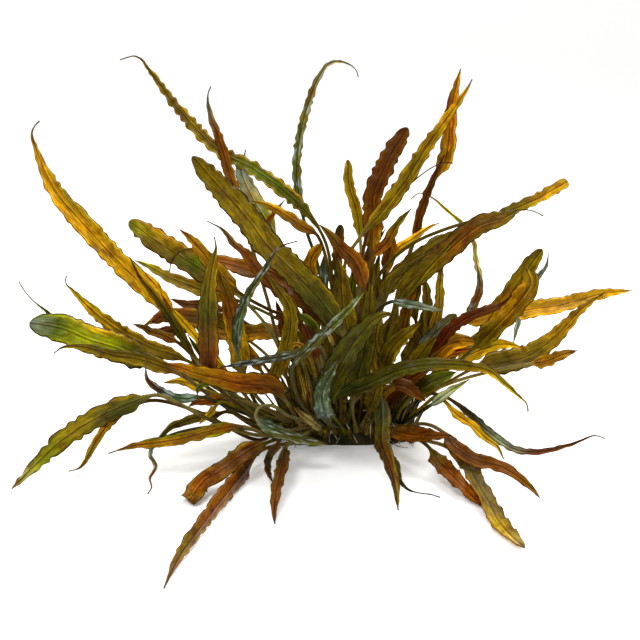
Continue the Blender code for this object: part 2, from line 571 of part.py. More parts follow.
def pad_outline(shrink, height, lump):
    """A rounded oblong ring of points around the pad, with lumps."""
    ring = []
    for i in range(PAD_SIDES):
        angle = math.tau * i / PAD_SIDES
        c, s = math.cos(angle), math.sin(angle)
        bump = lump * noise.noise((3.1 * c, 3.1 * s, height * 0.3)) - shrink
        x = PAD_LONG * math.copysign(abs(c) ** (2 / PAD_CORNER), c) + bump * c
        y = PAD_DEEP * math.copysign(abs(s) ** (2 / PAD_CORNER), s) + bump * s
        ring.append((x * MM, y * MM, height * MM))
    return ring


def rootstock_solid():
    """The cut rootstock: a flat face below, lumpy sides and a flat face above."""
    levels = ((2.5, 0.0, 0.5), (0.0, 2.8, 1.0), (0.0, 5.4, 1.0), (2.0, PAD_HIGH, 0.5))
    bm = bmesh.new()
    rows = [
        [bm.verts.new(point) for point in pad_outline(shrink, height, lump * PAD_LUMP)]
        for shrink, height, lump in levels
    ]
    for low, high in zip(rows, rows[1:]):
        for i in range(PAD_SIDES):
            j = (i + 1) % PAD_SIDES
            bm.faces.new((low[i], low[j], high[j], high[i]))
    bm.faces.new(rows[0][::-1])
    bm.faces.new(rows[-1])
    return bm


def main():
    clear_scene()
    add_object("rootstock", rootstock_solid(), finish("rootstock"))
    midribs = keep_apart(Midribs(LEAVES))
    for number, leaf in enumerate(LEAVES):
        add_object(leaf.name, leaf_solid(midribs, number), finish(leaf.tone))


main()
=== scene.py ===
# %% [markdown]
# # A wavy-leaved water plant, Cryptocoryne undulata
#
# The real plant is a short creeping rootstock from which long narrow leaves rise. Each leaf has a
# round stalk that flattens into a blade with a raised midrib and waved, crisped edges. Outer leaves
# arch over and come down, inner ones stand up. The plant is shown cut off flat at the ground,
# standing on its cut.
#
# The leaves all follow one rule, a section swept along a midrib, so one Geometry Nodes tree makes
# them all. Lengths in this file are millimetres until a mesh is made. +Z is up and -Y is the front.

# %% The frame and its box
import collections
import math

import bmesh
import bpy
import numpy as np
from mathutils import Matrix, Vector, kdtree, noise


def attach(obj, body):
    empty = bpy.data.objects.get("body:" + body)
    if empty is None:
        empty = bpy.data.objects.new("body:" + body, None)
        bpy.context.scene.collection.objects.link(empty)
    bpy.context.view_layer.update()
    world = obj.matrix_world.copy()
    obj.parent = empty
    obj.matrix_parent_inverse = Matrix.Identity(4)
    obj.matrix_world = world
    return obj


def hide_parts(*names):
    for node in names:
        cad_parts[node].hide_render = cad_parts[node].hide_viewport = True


MM = 0.001
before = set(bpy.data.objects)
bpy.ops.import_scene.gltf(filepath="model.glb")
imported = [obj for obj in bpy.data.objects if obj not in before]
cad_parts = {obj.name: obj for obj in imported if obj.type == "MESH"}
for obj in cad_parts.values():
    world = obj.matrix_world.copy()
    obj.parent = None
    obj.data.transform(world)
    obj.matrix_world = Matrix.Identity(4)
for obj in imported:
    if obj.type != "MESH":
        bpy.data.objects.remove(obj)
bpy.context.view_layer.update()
print("solids in the frame:", len(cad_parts))

# %% [markdown]
# ## Viewpoint
#
# The picture is taken from a little above, with the camera 650 mm from the middle of the plant. The
# leaf tables below are read against this same viewpoint, so it is set first.

# %% Viewpoint
LENS = 58.97
SENSOR = 36.0
LOOK_DOWN = 13.0
EYE = np.array((-18.6, -633.3, 221.7))

# %% [markdown]
# ## Leaf tables
#
# A leaf is described by what a grower would note: its colour, the form of its tip, where it stands
# on the rootstock, how wide the blade is, where the stalk turns to blade, how the blade is tilted,
# and the points that its midrib passes through. A point is (across, up, toward): where it is seen
# from the front on the upright plane through the middle of the plant, and how far it stands in
# front of that plane. The first table is the same one that the solids are made from.

# %% Leaf table: the long leaves
Leaf = collections.namedtuple("Leaf", "name tone tip foot width start tilt path")

LEAVES = [
    # Left: the long golden leaf with a hooked tip, the folded one before it, and the tall ones.
    Leaf("leaf_01", "amber", "drawn", (-30, 6), 14, 2, 30,
         [(-55, 9, 6), (-94, 47, 24), (-110, 74, 29), (-121, 90, 32), (-142, 112, 34),
          (-162, 135, 30), (-178, 155, 24), (-188, 179, 18), (-190, 191, 16), (-185, 197, 16)]),
    Leaf("leaf_02", "amber", "point", (-31, 1), 5, 1, 25,
         [(-58, 10, 14), (-94, 48, 38), (-113, 79, 46), (-120, 90, 48), (-129, 102, 49),
          (-135, 115, 50)]),
    Leaf("leaf_03", "olive", "drawn", (-11, 4), 10, 2, 30,
         [(-3, 30, -12), (-10, 94, -18), (-16, 126, -22), (-31, 147, -27), (-58, 168, -34),
          (-80.5, 180.5, -38), (-105, 207, -44), (-118, 225, -47), (-126, 234, -48),
          (-136, 232, -48)]),
    Leaf("leaf_04", "russet", "drawn", (-22, 9), 7, 2, 20,
         [(-34, 24, -10), (-51, 88, -16), (-64, 135, -22), (-72, 162, -24), (-79, 187, -26),
          (-83, 198, -27), (-85, 211, -27), (-83, 217, -26)]),
    Leaf("leaf_05", "olive", "round", (-2, -8), 17, 1, 25,
         [(2, 27, 26), (-1, 59, 42), (-14.5, 83, 54), (-33, 104, 61), (-51.5, 123, 65),
          (-61, 136.5, 68), (-83, 162, 70), (-95, 176, 68)]),
    Leaf("leaf_06", "green", "blunt", (-24, 5), 17, 2, 30,
         [(-31, 24, -6), (-50, 69, -16), (-68, 90, -22), (-88.5, 105.5, -26), (-107, 117.5, -28),
          (-119, 125.5, -28), (-134.5, 137, -26)]),
    Leaf("leaf_07", "orange", "tail", (-24, 0), 17, 2, 30,
         [(-20, 27, 0), (-31, 75, 6), (-52, 101.5, 10), (-68, 109, 12), (-83, 113, 12),
          (-95, 119, 12), (-103, 119, 12), (-109, 113, 12), (-111, 106, 12)]),
    Leaf("leaf_08", "orange", "point", (-18, -1), 11, 3, 25,
         [(-24, 30, 4), (-33, 74, 10), (-50, 82, 14), (-68, 92.5, 17), (-81, 106, 19),
          (-90, 117, 22), (-97, 126, 23), (-104, 132, 24)]),
    Leaf("leaf_09", "olive", "drawn", (-31.5, -6.5), 12, 2, 20,
         [(-52, 8, 34), (-72, 22, 52), (-86, 37, 66), (-88, 66, 75), (-86.5, 98, 78),
          (-83.5, 114, 78), (-82, 121, 77), (-83, 127.5, 75)]),
    Leaf("leaf_10", "russet", "drawn", (-8, -5), 8, 1, 25,
         [(-17, 29, 6), (-28, 69, 16), (-40, 89, 22), (-56, 106, 24), (-64, 117, 25),
          (-72, 124, 25), (-78, 132, 25), (-87, 137, 24)]),
    Leaf("leaf_11", "teal", "taper", (-25, -4), 7, 2, 20,
         [(-41, 10, 26), (-60, 28, 44), (-69, 50, 54), (-70, 70, 60), (-64, 89, 66), (-52, 108, 75),
          (-43, 121, 82), (-32, 125, 86)]),
    Leaf("leaf_12", "green", "point", (-17, 6), 11, 3, 30,
         [(-20, 32, -22), (-31, 66, -28), (-50, 79, -30), (-70, 88, -30), (-90, 94, -28),
          (-112.5, 103, -25), (-123, 109, -24), (-132, 113, -22)]),
    Leaf("leaf_13", "orange", "point", (-28, 10), 13, 2, 30,
         [(-17, 24, -34), (-24, 56, -42), (-30, 65, -44), (-50, 68, -46), (-80, 67, -48),
          (-99, 76, -48), (-115, 78, -47), (-131, 70, -45)]),
    Leaf("leaf_14", "amber", "drawn", (-36, 6), 10, 3, 30,
         [(-50, 8, -2), (-72, 27, -2), (-94, 45, 2), (-110, 53, 6), (-122, 57, 9), (-141, 67, 13),
          (-160, 82, 16), (-170, 93, 18), (-175, 99, 18), (-174, 104, 18)]),
    Leaf("leaf_15", "green", "blunt", (-37, 2), 18.5, 3, 25,
         [(-55, 5, 8), (-85, 25, 16), (-106, 41, 24), (-120, 48, 30), (-134.5, 53, 34),
          (-148, 58.5, 37), (-162.5, 63, 39), (-178.5, 70, 40), (-199, 73.5, 40)]),
    Leaf("leaf_16", "russet", "taper", (-37, -2), 10, 2, 20,
         [(-55, 4, 24), (-85, 24, 36), (-106, 40, 46), (-131, 50, 52), (-149, 53, 54),
          (-166, 58, 56), (-179, 58, 56), (-185, 54, 56)]),
    Leaf("leaf_17", "orange", "point", (-26, -8), 14, 1, 25,
         [(-31, 7, 38), (-41, 24, 52), (-51, 33, 62), (-70, 35, 70), (-82, 38, 73), (-94, 41, 75),
          (-106, 45, 76), (-117, 48, 76)]),
    Leaf("leaf_18", "teal", "point", (-32, -2.5), 6, 2, 25,
         [(-48, 9, 26), (-72, 17, 44), (-92, 25.5, 54), (-104, 24.5, 56), (-114, 27, 58),
          (-122, 32, 58), (-127, 37, 58), (-128, 46, 56)]),
    # Lower left and front: leaves that arch over and come down to the ground.
    Leaf("leaf_19", "olive", "point", (-34, -11), 13, 3, 30,
         [(-56, 0, 42), (-85, 9, 58), (-111, 23, 68), (-121, 27, 71), (-132, 24, 74),
          (-159.5, 12, 79), (-182, -2.5, 84), (-200.5, -19.5, 86), (-217, -36, 88)]),
    Leaf("leaf_20", "russet", "drawn", (-36.5, -7), 5, 3, 20,
         [(-57, -3, 28), (-96, 16, 44), (-124, 23.5, 54), (-138, 19, 58), (-154, 6, 60),
          (-162, -5, 62), (-168, -16, 64), (-173, -22, 66), (-180, -24, 66)]),
    Leaf("leaf_21", "orange", "drawn", (-30, -12), 8, 1, 25,
         [(-44, -2, 44), (-68, 6, 56), (-84, 4, 62), (-97, 0.5, 66), (-111, -3, 70), (-124, -5, 73),
          (-138, -7, 76), (-154, -12, 78)]),
    Leaf("leaf_22", "olive", "cut", (-26, -13), 11.5, 1, 30,
         [(-36, 1, 46), (-48, -3, 57), (-62.5, -9, 72), (-71.5, -15, 82), (-82, -23.5, 88),
          (-92.5, -30, 94), (-103.5, -45, 100)]),
    Leaf("leaf_23", "olive", "point", (-21, -11), 10, 1, 30,
         [(-31.5, -3, 36), (-56, -10, 52), (-67, -24, 68), (-76.5, -35.5, 96), (-93.5, -58, 134),
          (-112, -85, 170), (-121.5, -106, 192)]),
    Leaf("leaf_24", "green", "point", (-17, -13), 8.5, 1, 25,
         [(-29, 1, 36), (-40, -7, 52), (-42, -17, 74), (-44, -26, 92), (-46.5, -36, 106),
          (-48, -49, 124), (-48, -60, 136)]),
    Leaf("leaf_25", "teal", "point", (-14, -13), 10, 3, 30,
         [(-40, 14, 44), (-49, 20, 54), (-58, 18, 60), (-59, 12, 62), (-52, 6, 64), (-36, -1, 66),
          (-25, -4, 66), (-13, -6, 66)]),
    Leaf("leaf_26", "teal", "drawn", (-13, 9), 13, 3, 25,
         [(-12, 27, -24), (-28, 82, -40), (-40, 116, -50), (-45, 127, -55), (-53, 140, -58),
          (-59, 150, -60), (-64, 161, -60), (-66, 168, -60), (-64, 176, -60), (-63, 180, -59)]),
    Leaf("leaf_27", "olive", "point", (-19, -5), 15, 1, 25,
         [(-55, 17, 20), (-66, 40, 30), (-70, 63, 36), (-73, 78, 38), (-76, 91, 39),
          (-81, 105, 38)]),
    Leaf("leaf_28", "green", "point", (-13, -5), 12, 1, 25,
         [(-31, 16, 22), (-46, 30, 30), (-46, 42, 33), (-40, 56, 36), (-37, 72, 37), (-38, 84, 36),
          (-44, 94, 34), (-52, 105, 33)]),
    Leaf("leaf_29", "olive", "point", (11, -13), 10.5, 1, 25,
         [(18, 17, 40), (20, 25, 56), (21, 10, 76), (21, -4, 90), (25, -16, 102), (29.5, -31, 114),
          (31, -42, 121), (32, -51, 124)]),
    Leaf("leaf_30", "russet", "point", (18, -13), 13, 0, 30,
         [(25, 4, 38), (38, 1, 50), (50, 0, 60), (65, 0, 68)]),
    Leaf("leaf_31", "olive", "point", (24, -12), 11, 1, 25,
         [(40, 0, 40), (50, -7, 58), (58, -18, 78), (73, -34, 100), (87, -49, 116)]),
    Leaf("leaf_32", "amber", "round", (29, -11), 10.5, 1, 30,
         [(45, -2, 38), (61, -7, 56), (75, -18, 80), (82, -31, 100), (89.7, -44.5, 118),
          (96.7, -57.5, 134), (104.7, -67.5, 146), (115, -77, 156)]),
    Leaf("leaf_33", "russet", "point", (26, -8), 9.5, 2, 25,
         [(35, 5, 36), (45, 8, 48), (54, 6, 58), (62, 0, 66), (68, -8, 72), (82, -17, 82),
          (95, -20, 88), (107.5, -27, 94), (117, -35, 98), (123, -42, 100)]),
    # Right: leaves that reach out low and long.
    Leaf("leaf_34", "russet", "taper", (19, -8), 6, 3, 25,
         [(29, 14, 14), (37, 25, 24), (49, 28, 30), (60, 26, 34), (76, 14.5, 40), (87, 4, 44),
          (105.5, -9, 48), (119, -11, 50), (131, -9, 50), (144, -5, 50), (156, 0, 48),
          (163, -2, 46)]),
    Leaf("leaf_35", "yellow", "point", (33, -7), 6, 3, 25,
         [(31, 5, 20), (45, 18, 32), (55, 26, 40), (60, 23, 44), (68, 14, 48), (78, 7, 50),
          (86.5, -1.5, 52), (94.5, -7.5, 54), (99, -16, 56)]),
    Leaf("leaf_36", "green", "taper", (-3, -13), 10.5, 0, 25,
         [(-12, 22, 64), (0, 30, 72), (11, 34, 78), (32, 43.5, 86), (53, 47, 90), (77, 45.5, 92),
          (87, 43, 92), (96, 36, 90), (107, 26, 88), (112, 21, 86), (113, 16, 85)]),
    Leaf("leaf_37", "amber", "taper", (26, 1), 20, 2, 30,
         [(32, 14, -10), (57, 32, -18), (75, 43, -22), (84, 46, -24), (110, 52, -30),
          (127, 64, -34), (143, 82, -38), (157, 93, -40)]),
    Leaf("leaf_38", "yellow", "point", (26, 8), 15, 2, 30,
         [(34, 20, -34), (63, 53, -52), (87, 72, -62), (106, 81, -68), (130, 85, -74),
          (153, 91.5, -78), (166, 93.5, -80), (174, 94, -80)]),
    Leaf("leaf_39", "russet", "blunt", (18, -4), 12, 3, 25,
         [(23, 17, 0), (38, 38, 8), (51, 57, 16), (66, 72, 22), (91, 82, 26), (101, 95, 28),
          (110, 109.5, 30), (117, 120, 30)]),
    Leaf("leaf_40", "olive", "blunt", (22, -7), 14, 3, 25,
         [(31, 16, 12), (47, 33, 18), (66, 47, 24), (76, 56, 28), (91, 72, 33), (100, 82, 36),
          (107, 91, 38), (111, 99, 38), (108, 108, 38)]),
    Leaf("leaf_41", "orange", "taper", (18, 9), 4.5, 2, 20,
         [(24, 20, -28), (47, 48, -36), (72, 77, -44), (78, 89, -48), (80, 99, -50), (77, 112, -52),
          (75, 124, -54), (70, 133, -55), (58, 144, -56), (48, 152, -56), (41, 154, -56),
          (36, 150, -56)]),
    Leaf("leaf_42", "olive", "cut", (3, -1), 7.5, 5, 30,
         [(5, 30, -10), (11, 75, -12), (18, 104, -12), (36, 122, -10), (60, 133, -8), (86, 140, -6),
          (100, 145, -6), (113, 151, -5), (130.5, 161, -4)]),
    Leaf("leaf_43", "olive", "round", (13, -5), 14, 2, 30,
         [(17, 34, 8), (21, 59, 18), (27, 82, 24), (35, 97, 28), (47, 108, 31), (62, 121, 34),
          (77.5, 134, 36), (95, 140, 38), (100, 143, 38)]),
    # Upright leaves of the middle.
    Leaf("leaf_44", "orange", "point", (10, 9), 11, 5, 25,
         [(16, 27, -30), (28, 82, -40), (37, 122, -46), (42, 139, -47), (47, 152.5, -48),
          (50, 161, -49), (57, 176, -50), (59.5, 205, -50), (64, 227, -49)]),
    Leaf("leaf_45", "amber", "point", (-5, -1), 11, 3, 25,
         [(2, 29, -2), (-3, 75, 2), (-3, 112, 6), (5, 126, 8), (20, 144, 10), (32.5, 161, 11),
          (44.5, 180.5, 12), (55.8, 197, 12), (68, 215, 12), (71, 221, 12)]),
    Leaf("leaf_46", "russet", "blunt", (-3, 4), 13, 2, 20,
         [(10, 27, -18), (12, 75, -24), (13, 113, -28), (13.5, 139, -30), (13.5, 153, -31),
          (19, 167, -32), (24, 177.5, -33), (33.5, 193, -34)]),
    Leaf("leaf_47", "yellow", "blunt", (3, 5), 7, 2, 20,
         [(7, 27, -24), (7, 88, -36), (6, 125, -40), (3, 145, -42), (-1, 158, -43),
          (-2, 174, -42)]),
    Leaf("leaf_48", "teal", "drawn", (-6, 9), 6, 3, 20,
         [(-7, 29, -26), (-14, 82, -34), (-21, 114, -38), (-27, 132, -39), (-32.5, 165, -41),
          (-31, 185, -42), (-26, 205, -42), (-20, 221, -42), (-13, 230, -42), (-6, 231, -42),
          (2, 227, -41), (4, 222, -40)]),
    Leaf("leaf_49", "russet", "blunt", (-12, -1), 7, 2, 20,
         [(-4, 27, 2), (-9, 75, 4), (-9, 104, 4), (-8, 114, 4), (-7, 126, 3), (-6, 135, 2)]),
    Leaf("leaf_50", "orange", "point", (5, -9), 11, 2, 25,
         [(8, 27, 20), (11, 63, 34), (9, 94, 42), (3, 112, 48), (-4, 119, 50), (-11, 127, 52),
          (-19, 135, 52)]),
    Leaf("leaf_51", "olive", "point", (4, -13), 14, 0, 20,
         [(2, 20, 40), (6, 43, 56), (11, 66, 68), (12, 84, 74), (13, 101, 78)]),
    Leaf("leaf_52", "teal", "point", (-13, -9), 7, 1, 20,
         [(-32, 24, 60), (-36, 45, 74), (-30, 53, 78), (-18, 65, 84), (-4, 79, 90), (4, 88, 92),
          (10, 96, 94)]),
    Leaf("leaf_53", "teal", "point", (-8, -9), 6, 2, 25,
         [(-17, 24, 52), (-15, 50, 66), (-19, 59, 70), (-25, 56, 71), (-37, 53, 72), (-57, 49, 72),
          (-81, 45, 70)]),
    Leaf("leaf_54", "olive", "point", (-8, -13), 18, 0, 20,
         [(-19, 18, 58), (-10, 39, 76), (1, 59, 88), (8, 68, 93), (14, 75, 96), (21, 79, 98),
          (28, 79, 98)]),
    Leaf("leaf_55", "teal", "point", (6, -5), 6, 3, 25,
         [(8, 27, 16), (14, 63, 30), (17, 81, 38), (25, 87, 42), (33, 86, 44), (44, 84, 46),
          (57, 81, 48)]),
    Leaf("leaf_56", "olive", "point", (12, -9), 12, 1, 25,
         [(18, 17, 22), (22, 43, 34), (24, 53, 40), (29, 61, 44), (37, 68, 47), (44, 74, 50)]),
    Leaf("leaf_57", "amber", "point", (25, -4), 8, 2, 25,
         [(29, 18, -4), (41, 45, -8), (49, 65, -10), (53, 76, -11), (55, 87, -12), (55, 97, -12),
          (56, 115, -12)]),
    Leaf("leaf_58", "russet", "blunt", (9, -1), 8, 2, 20,
         [(14, 24, -14), (19, 75, -22), (21, 106, -26), (24, 118, -28), (25, 129, -28)]),
    Leaf("leaf_59", "orange", "point", (-1, -5), 7, 2, 25,
         [(4, 33, 14), (7, 88, 24), (13, 114, 28), (22, 124, 29), (29, 136, 29),
          (36.5, 144.5, 28)]),
]
print("long leaves:", len(LEAVES))

# %% [markdown]
# ## Small leaves
#
# Between the long leaves stand short young ones, narrow tips and broad dark blades that fill the
# middle. They are too small to be solids of their own, so they are only made here, with the same
# rule and the same kind of table.

# %% Leaf table: the small leaves
SMALL_LEAVES = [
    Leaf("small_leaf_01", "russet", "point", (-25, 11), 9, 3, 25,
         [(-20, 27, -40), (-37, 56, -60), (-62, 72, -70), (-77, 81, -72), (-94, 85, -72),
          (-103, 86, -71), (-111, 89, -70)]),
    Leaf("small_leaf_02", "russet", "point", (-32, 10), 8, 3, 25,
         [(-31, 24, -30), (-55, 56, -48), (-78, 70, -54), (-96, 71, -56), (-108, 69, -56),
          (-127, 68, -55)]),
    Leaf("small_leaf_03", "russet", "point", (-17, -14), 5.5, 1, 25,
         [(-31, 5, 50), (-41, 1, 64), (-47, -8, 76), (-51, -14, 82), (-52, -22, 86),
          (-49, -32, 90)]),
    Leaf("small_leaf_04", "orange", "point", (-35, -6), 6, 2, 25,
         [(-52, 6, 30), (-63, 10, 36), (-77, 16, 42), (-84, 14, 44), (-97, 12, 48), (-105, 9, 50),
          (-113, 6, 54), (-119, 0, 60), (-125, -6, 66)]),
    Leaf("small_leaf_05", "orange", "point", (-11, 2), 8, 2, 25,
         [(-2, 29, -4), (-9, 82, -12), (-20, 128, -15), (-28, 133, -15), (-37, 139, -15),
          (-47, 145, -15), (-54, 148, -15), (-60, 149, -15)]),
    Leaf("small_leaf_06", "amber", "blunt", (-16, 5), 9, 2, 20,
         [(-12, 29, -8), (-16, 69, -10), (-20, 88, -10), (-24, 104, -10), (-24, 114, -10),
          (-18, 123, -10)]),
    Leaf("small_leaf_07", "olive", "point", (9, -7), 14, 1, 20,
         [(16, 21, 18), (18, 37, 24), (18, 50, 25), (16, 62, 25), (17, 72, 25), (19, 77, 25)]),
    Leaf("small_leaf_08", "olive", "point", (8, 2), 12, 2, 25,
         [(10, 29, -12), (14, 63, -15), (18, 89, -18), (29, 103, -18), (40, 114, -17),
          (52, 122, -16), (62, 130, -15)]),
    Leaf("small_leaf_09", "yellow", "point", (11, 10), 6, 2, 25,
         [(13, 27, -26), (17, 69, -28), (21, 101, -30), (28, 119, -30), (39, 127, -30),
          (47, 133, -30), (54, 136, -30)]),
    Leaf("small_leaf_10", "russet", "tail", (0, 2), 4, 2, 20,
         [(4, 30, -5), (4, 75, -5), (7, 113, -5), (12, 135, -5), (17, 143, -5), (25, 152, -5),
          (35, 159, -5), (41, 164, -5), (48, 169, -5), (55, 172, -5), (61, 172, -5)]),
    Leaf("small_leaf_11", "yellow", "blunt", (-34, -1), 5, 1, 20,
         [(-55, 15, 20), (-75, 39, 30), (-95, 64, 40), (-110, 82, 44)]),
    Leaf("small_leaf_12", "yellow", "point", (-36, -3), 6, 2, 25,
         [(-58, 12, 18), (-74, 24, 28), (-91, 30, 34), (-98, 33, 36), (-106, 36, 38),
          (-117, 35, 40)]),
    Leaf("small_leaf_13", "green", "point", (-34, -7), 4, 2, 25,
         [(-55, 14, 30), (-72, 27, 40), (-86, 34, 46), (-90, 34, 47), (-95, 32, 48),
          (-96, 27, 49)]),
    Leaf("small_leaf_14", "orange", "point", (-32, -9), 7, 2, 25,
         [(-41, 12, 34), (-58, 20, 44), (-79, 24, 50), (-97, 22, 54), (-102, 19, 56)]),
    Leaf("small_leaf_15", "yellow", "point", (-31, -11), 5, 2, 25,
         [(-49, 8, 30), (-69, 18, 40), (-82, 22, 44), (-87, 16, 47), (-95, 8, 50)]),
    Leaf("small_leaf_16", "teal", "point", (-37, -8), 3, 2, 25,
         [(-55, 4, 30), (-85, 6, 50), (-111, 1, 66), (-124, -6, 76), (-127, -13, 84),
          (-124, -21, 92), (-128, -29, 100), (-127, -35, 105), (-130, -40, 108)]),
    Leaf("small_leaf_17", "yellow", "point", (-15, -14), 6, 0, 25,
         [(-16, 3, 32), (-25, 10, 40), (-31, 15, 44), (-36, 20, 47)]),
    Leaf("small_leaf_18", "teal", "point", (-10, 6), 7, 2, 20,
         [(-11, 29, -14), (-14, 69, -16), (-16, 94, -16), (-16, 106, -16), (-16, 117, -16)]),
    Leaf("small_leaf_19", "amber", "point", (-18, 2), 8, 1, 25,
         [(-14, 27, -6), (-20, 59, -6), (-27, 83, -6), (-35, 94, -6)]),
    Leaf("small_leaf_20", "amber", "point", (-28, -3), 7, 1, 25,
         [(-41, 20, 10), (-55, 42, 14), (-62, 54, 16), (-68, 66, 18)]),
    Leaf("small_leaf_21", "green", "point", (-36, 4), 5, 1, 25,
         [(-58, 14, 0), (-80, 38, 4), (-94, 55, 6), (-101, 66, 8)]),
    Leaf("small_leaf_22", "russet", "tail", (17, -14), 7, 2, 20,
         [(16, 5, 36), (20, -3, 50), (25, -12, 64), (30, -21, 78), (33, -31, 92), (39, -37, 102),
          (46, -39, 106), (53, -40, 108), (59, -42, 110)]),
    Leaf("small_leaf_23", "amber", "point", (32, 3), 9, 3, 30,
         [(35, 17, -6), (57, 32, -10), (91, 43, -16), (112, 47, -20), (123, 49, -22),
          (132, 53, -23), (142, 56, -24)]),
    Leaf("small_leaf_24", "teal", "point", (26, 6), 5, 2, 25,
         [(32, 20, -22), (69, 55, -36), (99, 83, -42), (112, 98, -44), (117, 105, -45),
          (120, 109, -45), (121, 117, -45)]),
    Leaf("small_leaf_25", "teal", "point", (28, 4), 4, 3, 25,
         [(35, 20, -10), (63, 50, -18), (88, 72, -22), (99, 79, -23), (104, 75, -23),
          (103, 68, -23), (102, 61, -23)]),
    Leaf("small_leaf_26", "yellow", "point", (29, -1), 10, 1, 25,
         [(35, 22, -5), (66, 48, -8), (89, 59, -10), (98, 60, -10), (107, 58, -10)]),
    Leaf("small_leaf_27", "amber", "point", (24, -5), 15, 1, 25,
         [(32, 22, 6), (50, 48, 10), (62, 60, 12), (70, 62, 12), (80, 61, 12)]),
    Leaf("small_leaf_28", "russet", "point", (3, 11), 11, 1, 25,
         [(8, 27, -34), (10, 75, -38), (13, 119, -40), (21, 132, -40)]),
    Leaf("small_leaf_29", "green", "tail", (-38, 7), 2.5, 4, 20,
         [(-55, 10, 4), (-94, 35, 10), (-131, 56, 22), (-162, 68, 28), (-180, 75, 30),
          (-189, 82, 32), (-195, 87, 32), (-200, 93, 32), (-204, 100, 32)]),
    Leaf("small_leaf_30", "olive", "point", (-4, -5), 16, 1, 20,
         [(2, 24, 12), (-1, 63, 22), (-5, 88, 28), (-6, 104, 32), (-8, 114, 34)]),
    Leaf("small_leaf_31", "green", "point", (29, -8), 13, 1, 30,
         [(32, 17, 24), (41, 28, 30), (51, 35, 34), (60, 39, 36), (67, 42, 38)]),
    Leaf("small_leaf_32", "teal", "point", (31, -8), 6, 1, 30,
         [(37, 10, 28), (51, 20, 36), (64, 30, 40), (75, 37, 42)]),
    Leaf("small_leaf_33", "teal", "blunt", (20, -1), 9, 1, 25,
         [(26, 22, -2), (41, 52, -4), (55, 69, -4), (66, 79, -4)]),
    Leaf("small_leaf_34", "orange", "point", (23, -1), 9, 1, 25,
         [(31, 22, 0), (50, 46, 2), (61, 54, 4), (76, 57, 4)]),
    Leaf("small_leaf_35", "russet", "point", (15, -11), 13, 0, 25,
         [(22, 22, 28), (32, 33, 34), (40, 39, 36), (52, 45, 38)]),
    Leaf("small_leaf_36", "russet", "point", (13, -13), 9, 1, 25,
         [(19, 25, 40), (27, 33, 46), (34, 33, 50), (48, 23, 54)]),
    Leaf("small_leaf_37", "amber", "point", (10, -14), 8, 0, 25,
         [(16, 21, 32), (24, 30, 38), (35, 35, 42)]),
    Leaf("small_leaf_38", "russet", "point", (-18, -8), 11, 1, 25,
         [(-15, 25, 34), (-20, 48, 42), (-25, 63, 46), (-30, 74, 48)]),
    Leaf("small_leaf_39", "amber", "tail", (-21, -11), 6, 1, 25,
         [(-20, 32, 38), (-26, 54, 46), (-32, 60, 48), (-39, 58, 49), (-41, 54, 49)]),
    Leaf("small_leaf_40", "green", "point", (-17, -3), 9, 1, 25,
         [(-15, 29, 20), (-20, 59, 24), (-25, 74, 26), (-33, 80, 27)]),
    Leaf("small_leaf_41", "green", "point", (-23, -7), 8, 1, 25,
         [(-24, 29, 26), (-32, 55, 30), (-37, 68, 32), (-41, 81, 32)]),
    Leaf("small_leaf_42", "orange", "point", (-6, -11), 3, 1, 25,
         [(-6, 32, 44), (-10, 58, 52), (-14, 71, 54), (-5, 79, 55)]),
    Leaf("small_leaf_43", "olive", "point", (-7, 3), 13, 1, 20,
         [(-3, 20, -2), (-9, 42, 0), (-12, 63, 2), (-17, 85, 4)]),
    Leaf("small_leaf_44", "olive", "point", (8, -3), 14, 1, 20,
         [(10, 20, 4), (17, 43, 8), (24, 66, 10), (30, 85, 12)]),
    Leaf("small_leaf_45", "olive", "point", (15, -6), 13, 1, 25,
         [(21, 18, 14), (32, 35, 18), (44, 53, 22), (54, 65, 24)]),
    Leaf("small_leaf_46", "olive", "point", (-12, -6), 13, 1, 25,
         [(-8, 18, 14), (-17, 38, 20), (-27, 56, 24), (-37, 70, 26)]),
    Leaf("small_leaf_47", "green", "point", (0, 8), 15, 1, 20,
         [(3, 20, -16), (1, 50, -20), (0, 82, -22), (2, 108, -22)]),
    Leaf("small_leaf_48", "olive", "point", (18, 7), 12, 1, 25,
         [(22, 20, -16), (33, 43, -22), (44, 69, -26), (49, 88, -26)]),
    Leaf("small_leaf_49", "russet", "point", (-20, 10), 11, 1, 25,
         [(-17, 20, -18), (-29, 43, -24), (-39, 66, -28), (-46, 88, -28)]),
    Leaf("small_leaf_50", "olive", "point", (7, -12), 12, 0, 20,
         [(9, 9, 34), (14, 22, 40), (17, 35, 44), (14, 51, 46)]),
    Leaf("small_leaf_51", "teal", "point", (-5, -14), 12, 0, 20,
         [(-12, 9, 46), (-17, 21, 64), (-16, 32, 78), (-11, 42, 86), (-7, 50, 90)]),
    Leaf("small_leaf_52", "olive", "tail", (11, -3), 2.5, 6, 20,
         [(10, 26, 4), (16, 69, 14), (22, 89, 20), (28, 103, 24), (39, 112, 27), (55, 119, 29),
          (77, 131, 31), (89, 137, 35), (96, 142, 36), (104, 144, 36), (111, 143, 36),
          (117, 140, 36)]),
    Leaf("small_leaf_53", "yellow", "tail", (-21, -4), 3.2, 0, 20,
         [(-27, 22, 28), (-30, 35, 34), (-33, 47, 38), (-35, 58, 40)]),
    Leaf("small_leaf_54", "amber", "tail", (-17, -6), 3.2, 0, 20,
         [(-24, 22, 30), (-27, 37, 34), (-28, 49, 36), (-26, 61, 37)]),
    Leaf("small_leaf_55", "yellow", "tail", (-22, 2), 3, 0, 20,
         [(-30, 22, 18), (-36, 37, 24), (-38, 47, 26), (-42, 55, 27)]),
    Leaf("small_leaf_56", "olive", "point", (-23, -7), 12, 0, 25,
         [(-30, 23, 18), (-33, 33, 22), (-34, 43, 23), (-33, 55, 24)]),
    Leaf("small_leaf_57", "olive", "blunt", (8, 3), 11, 2, 30,
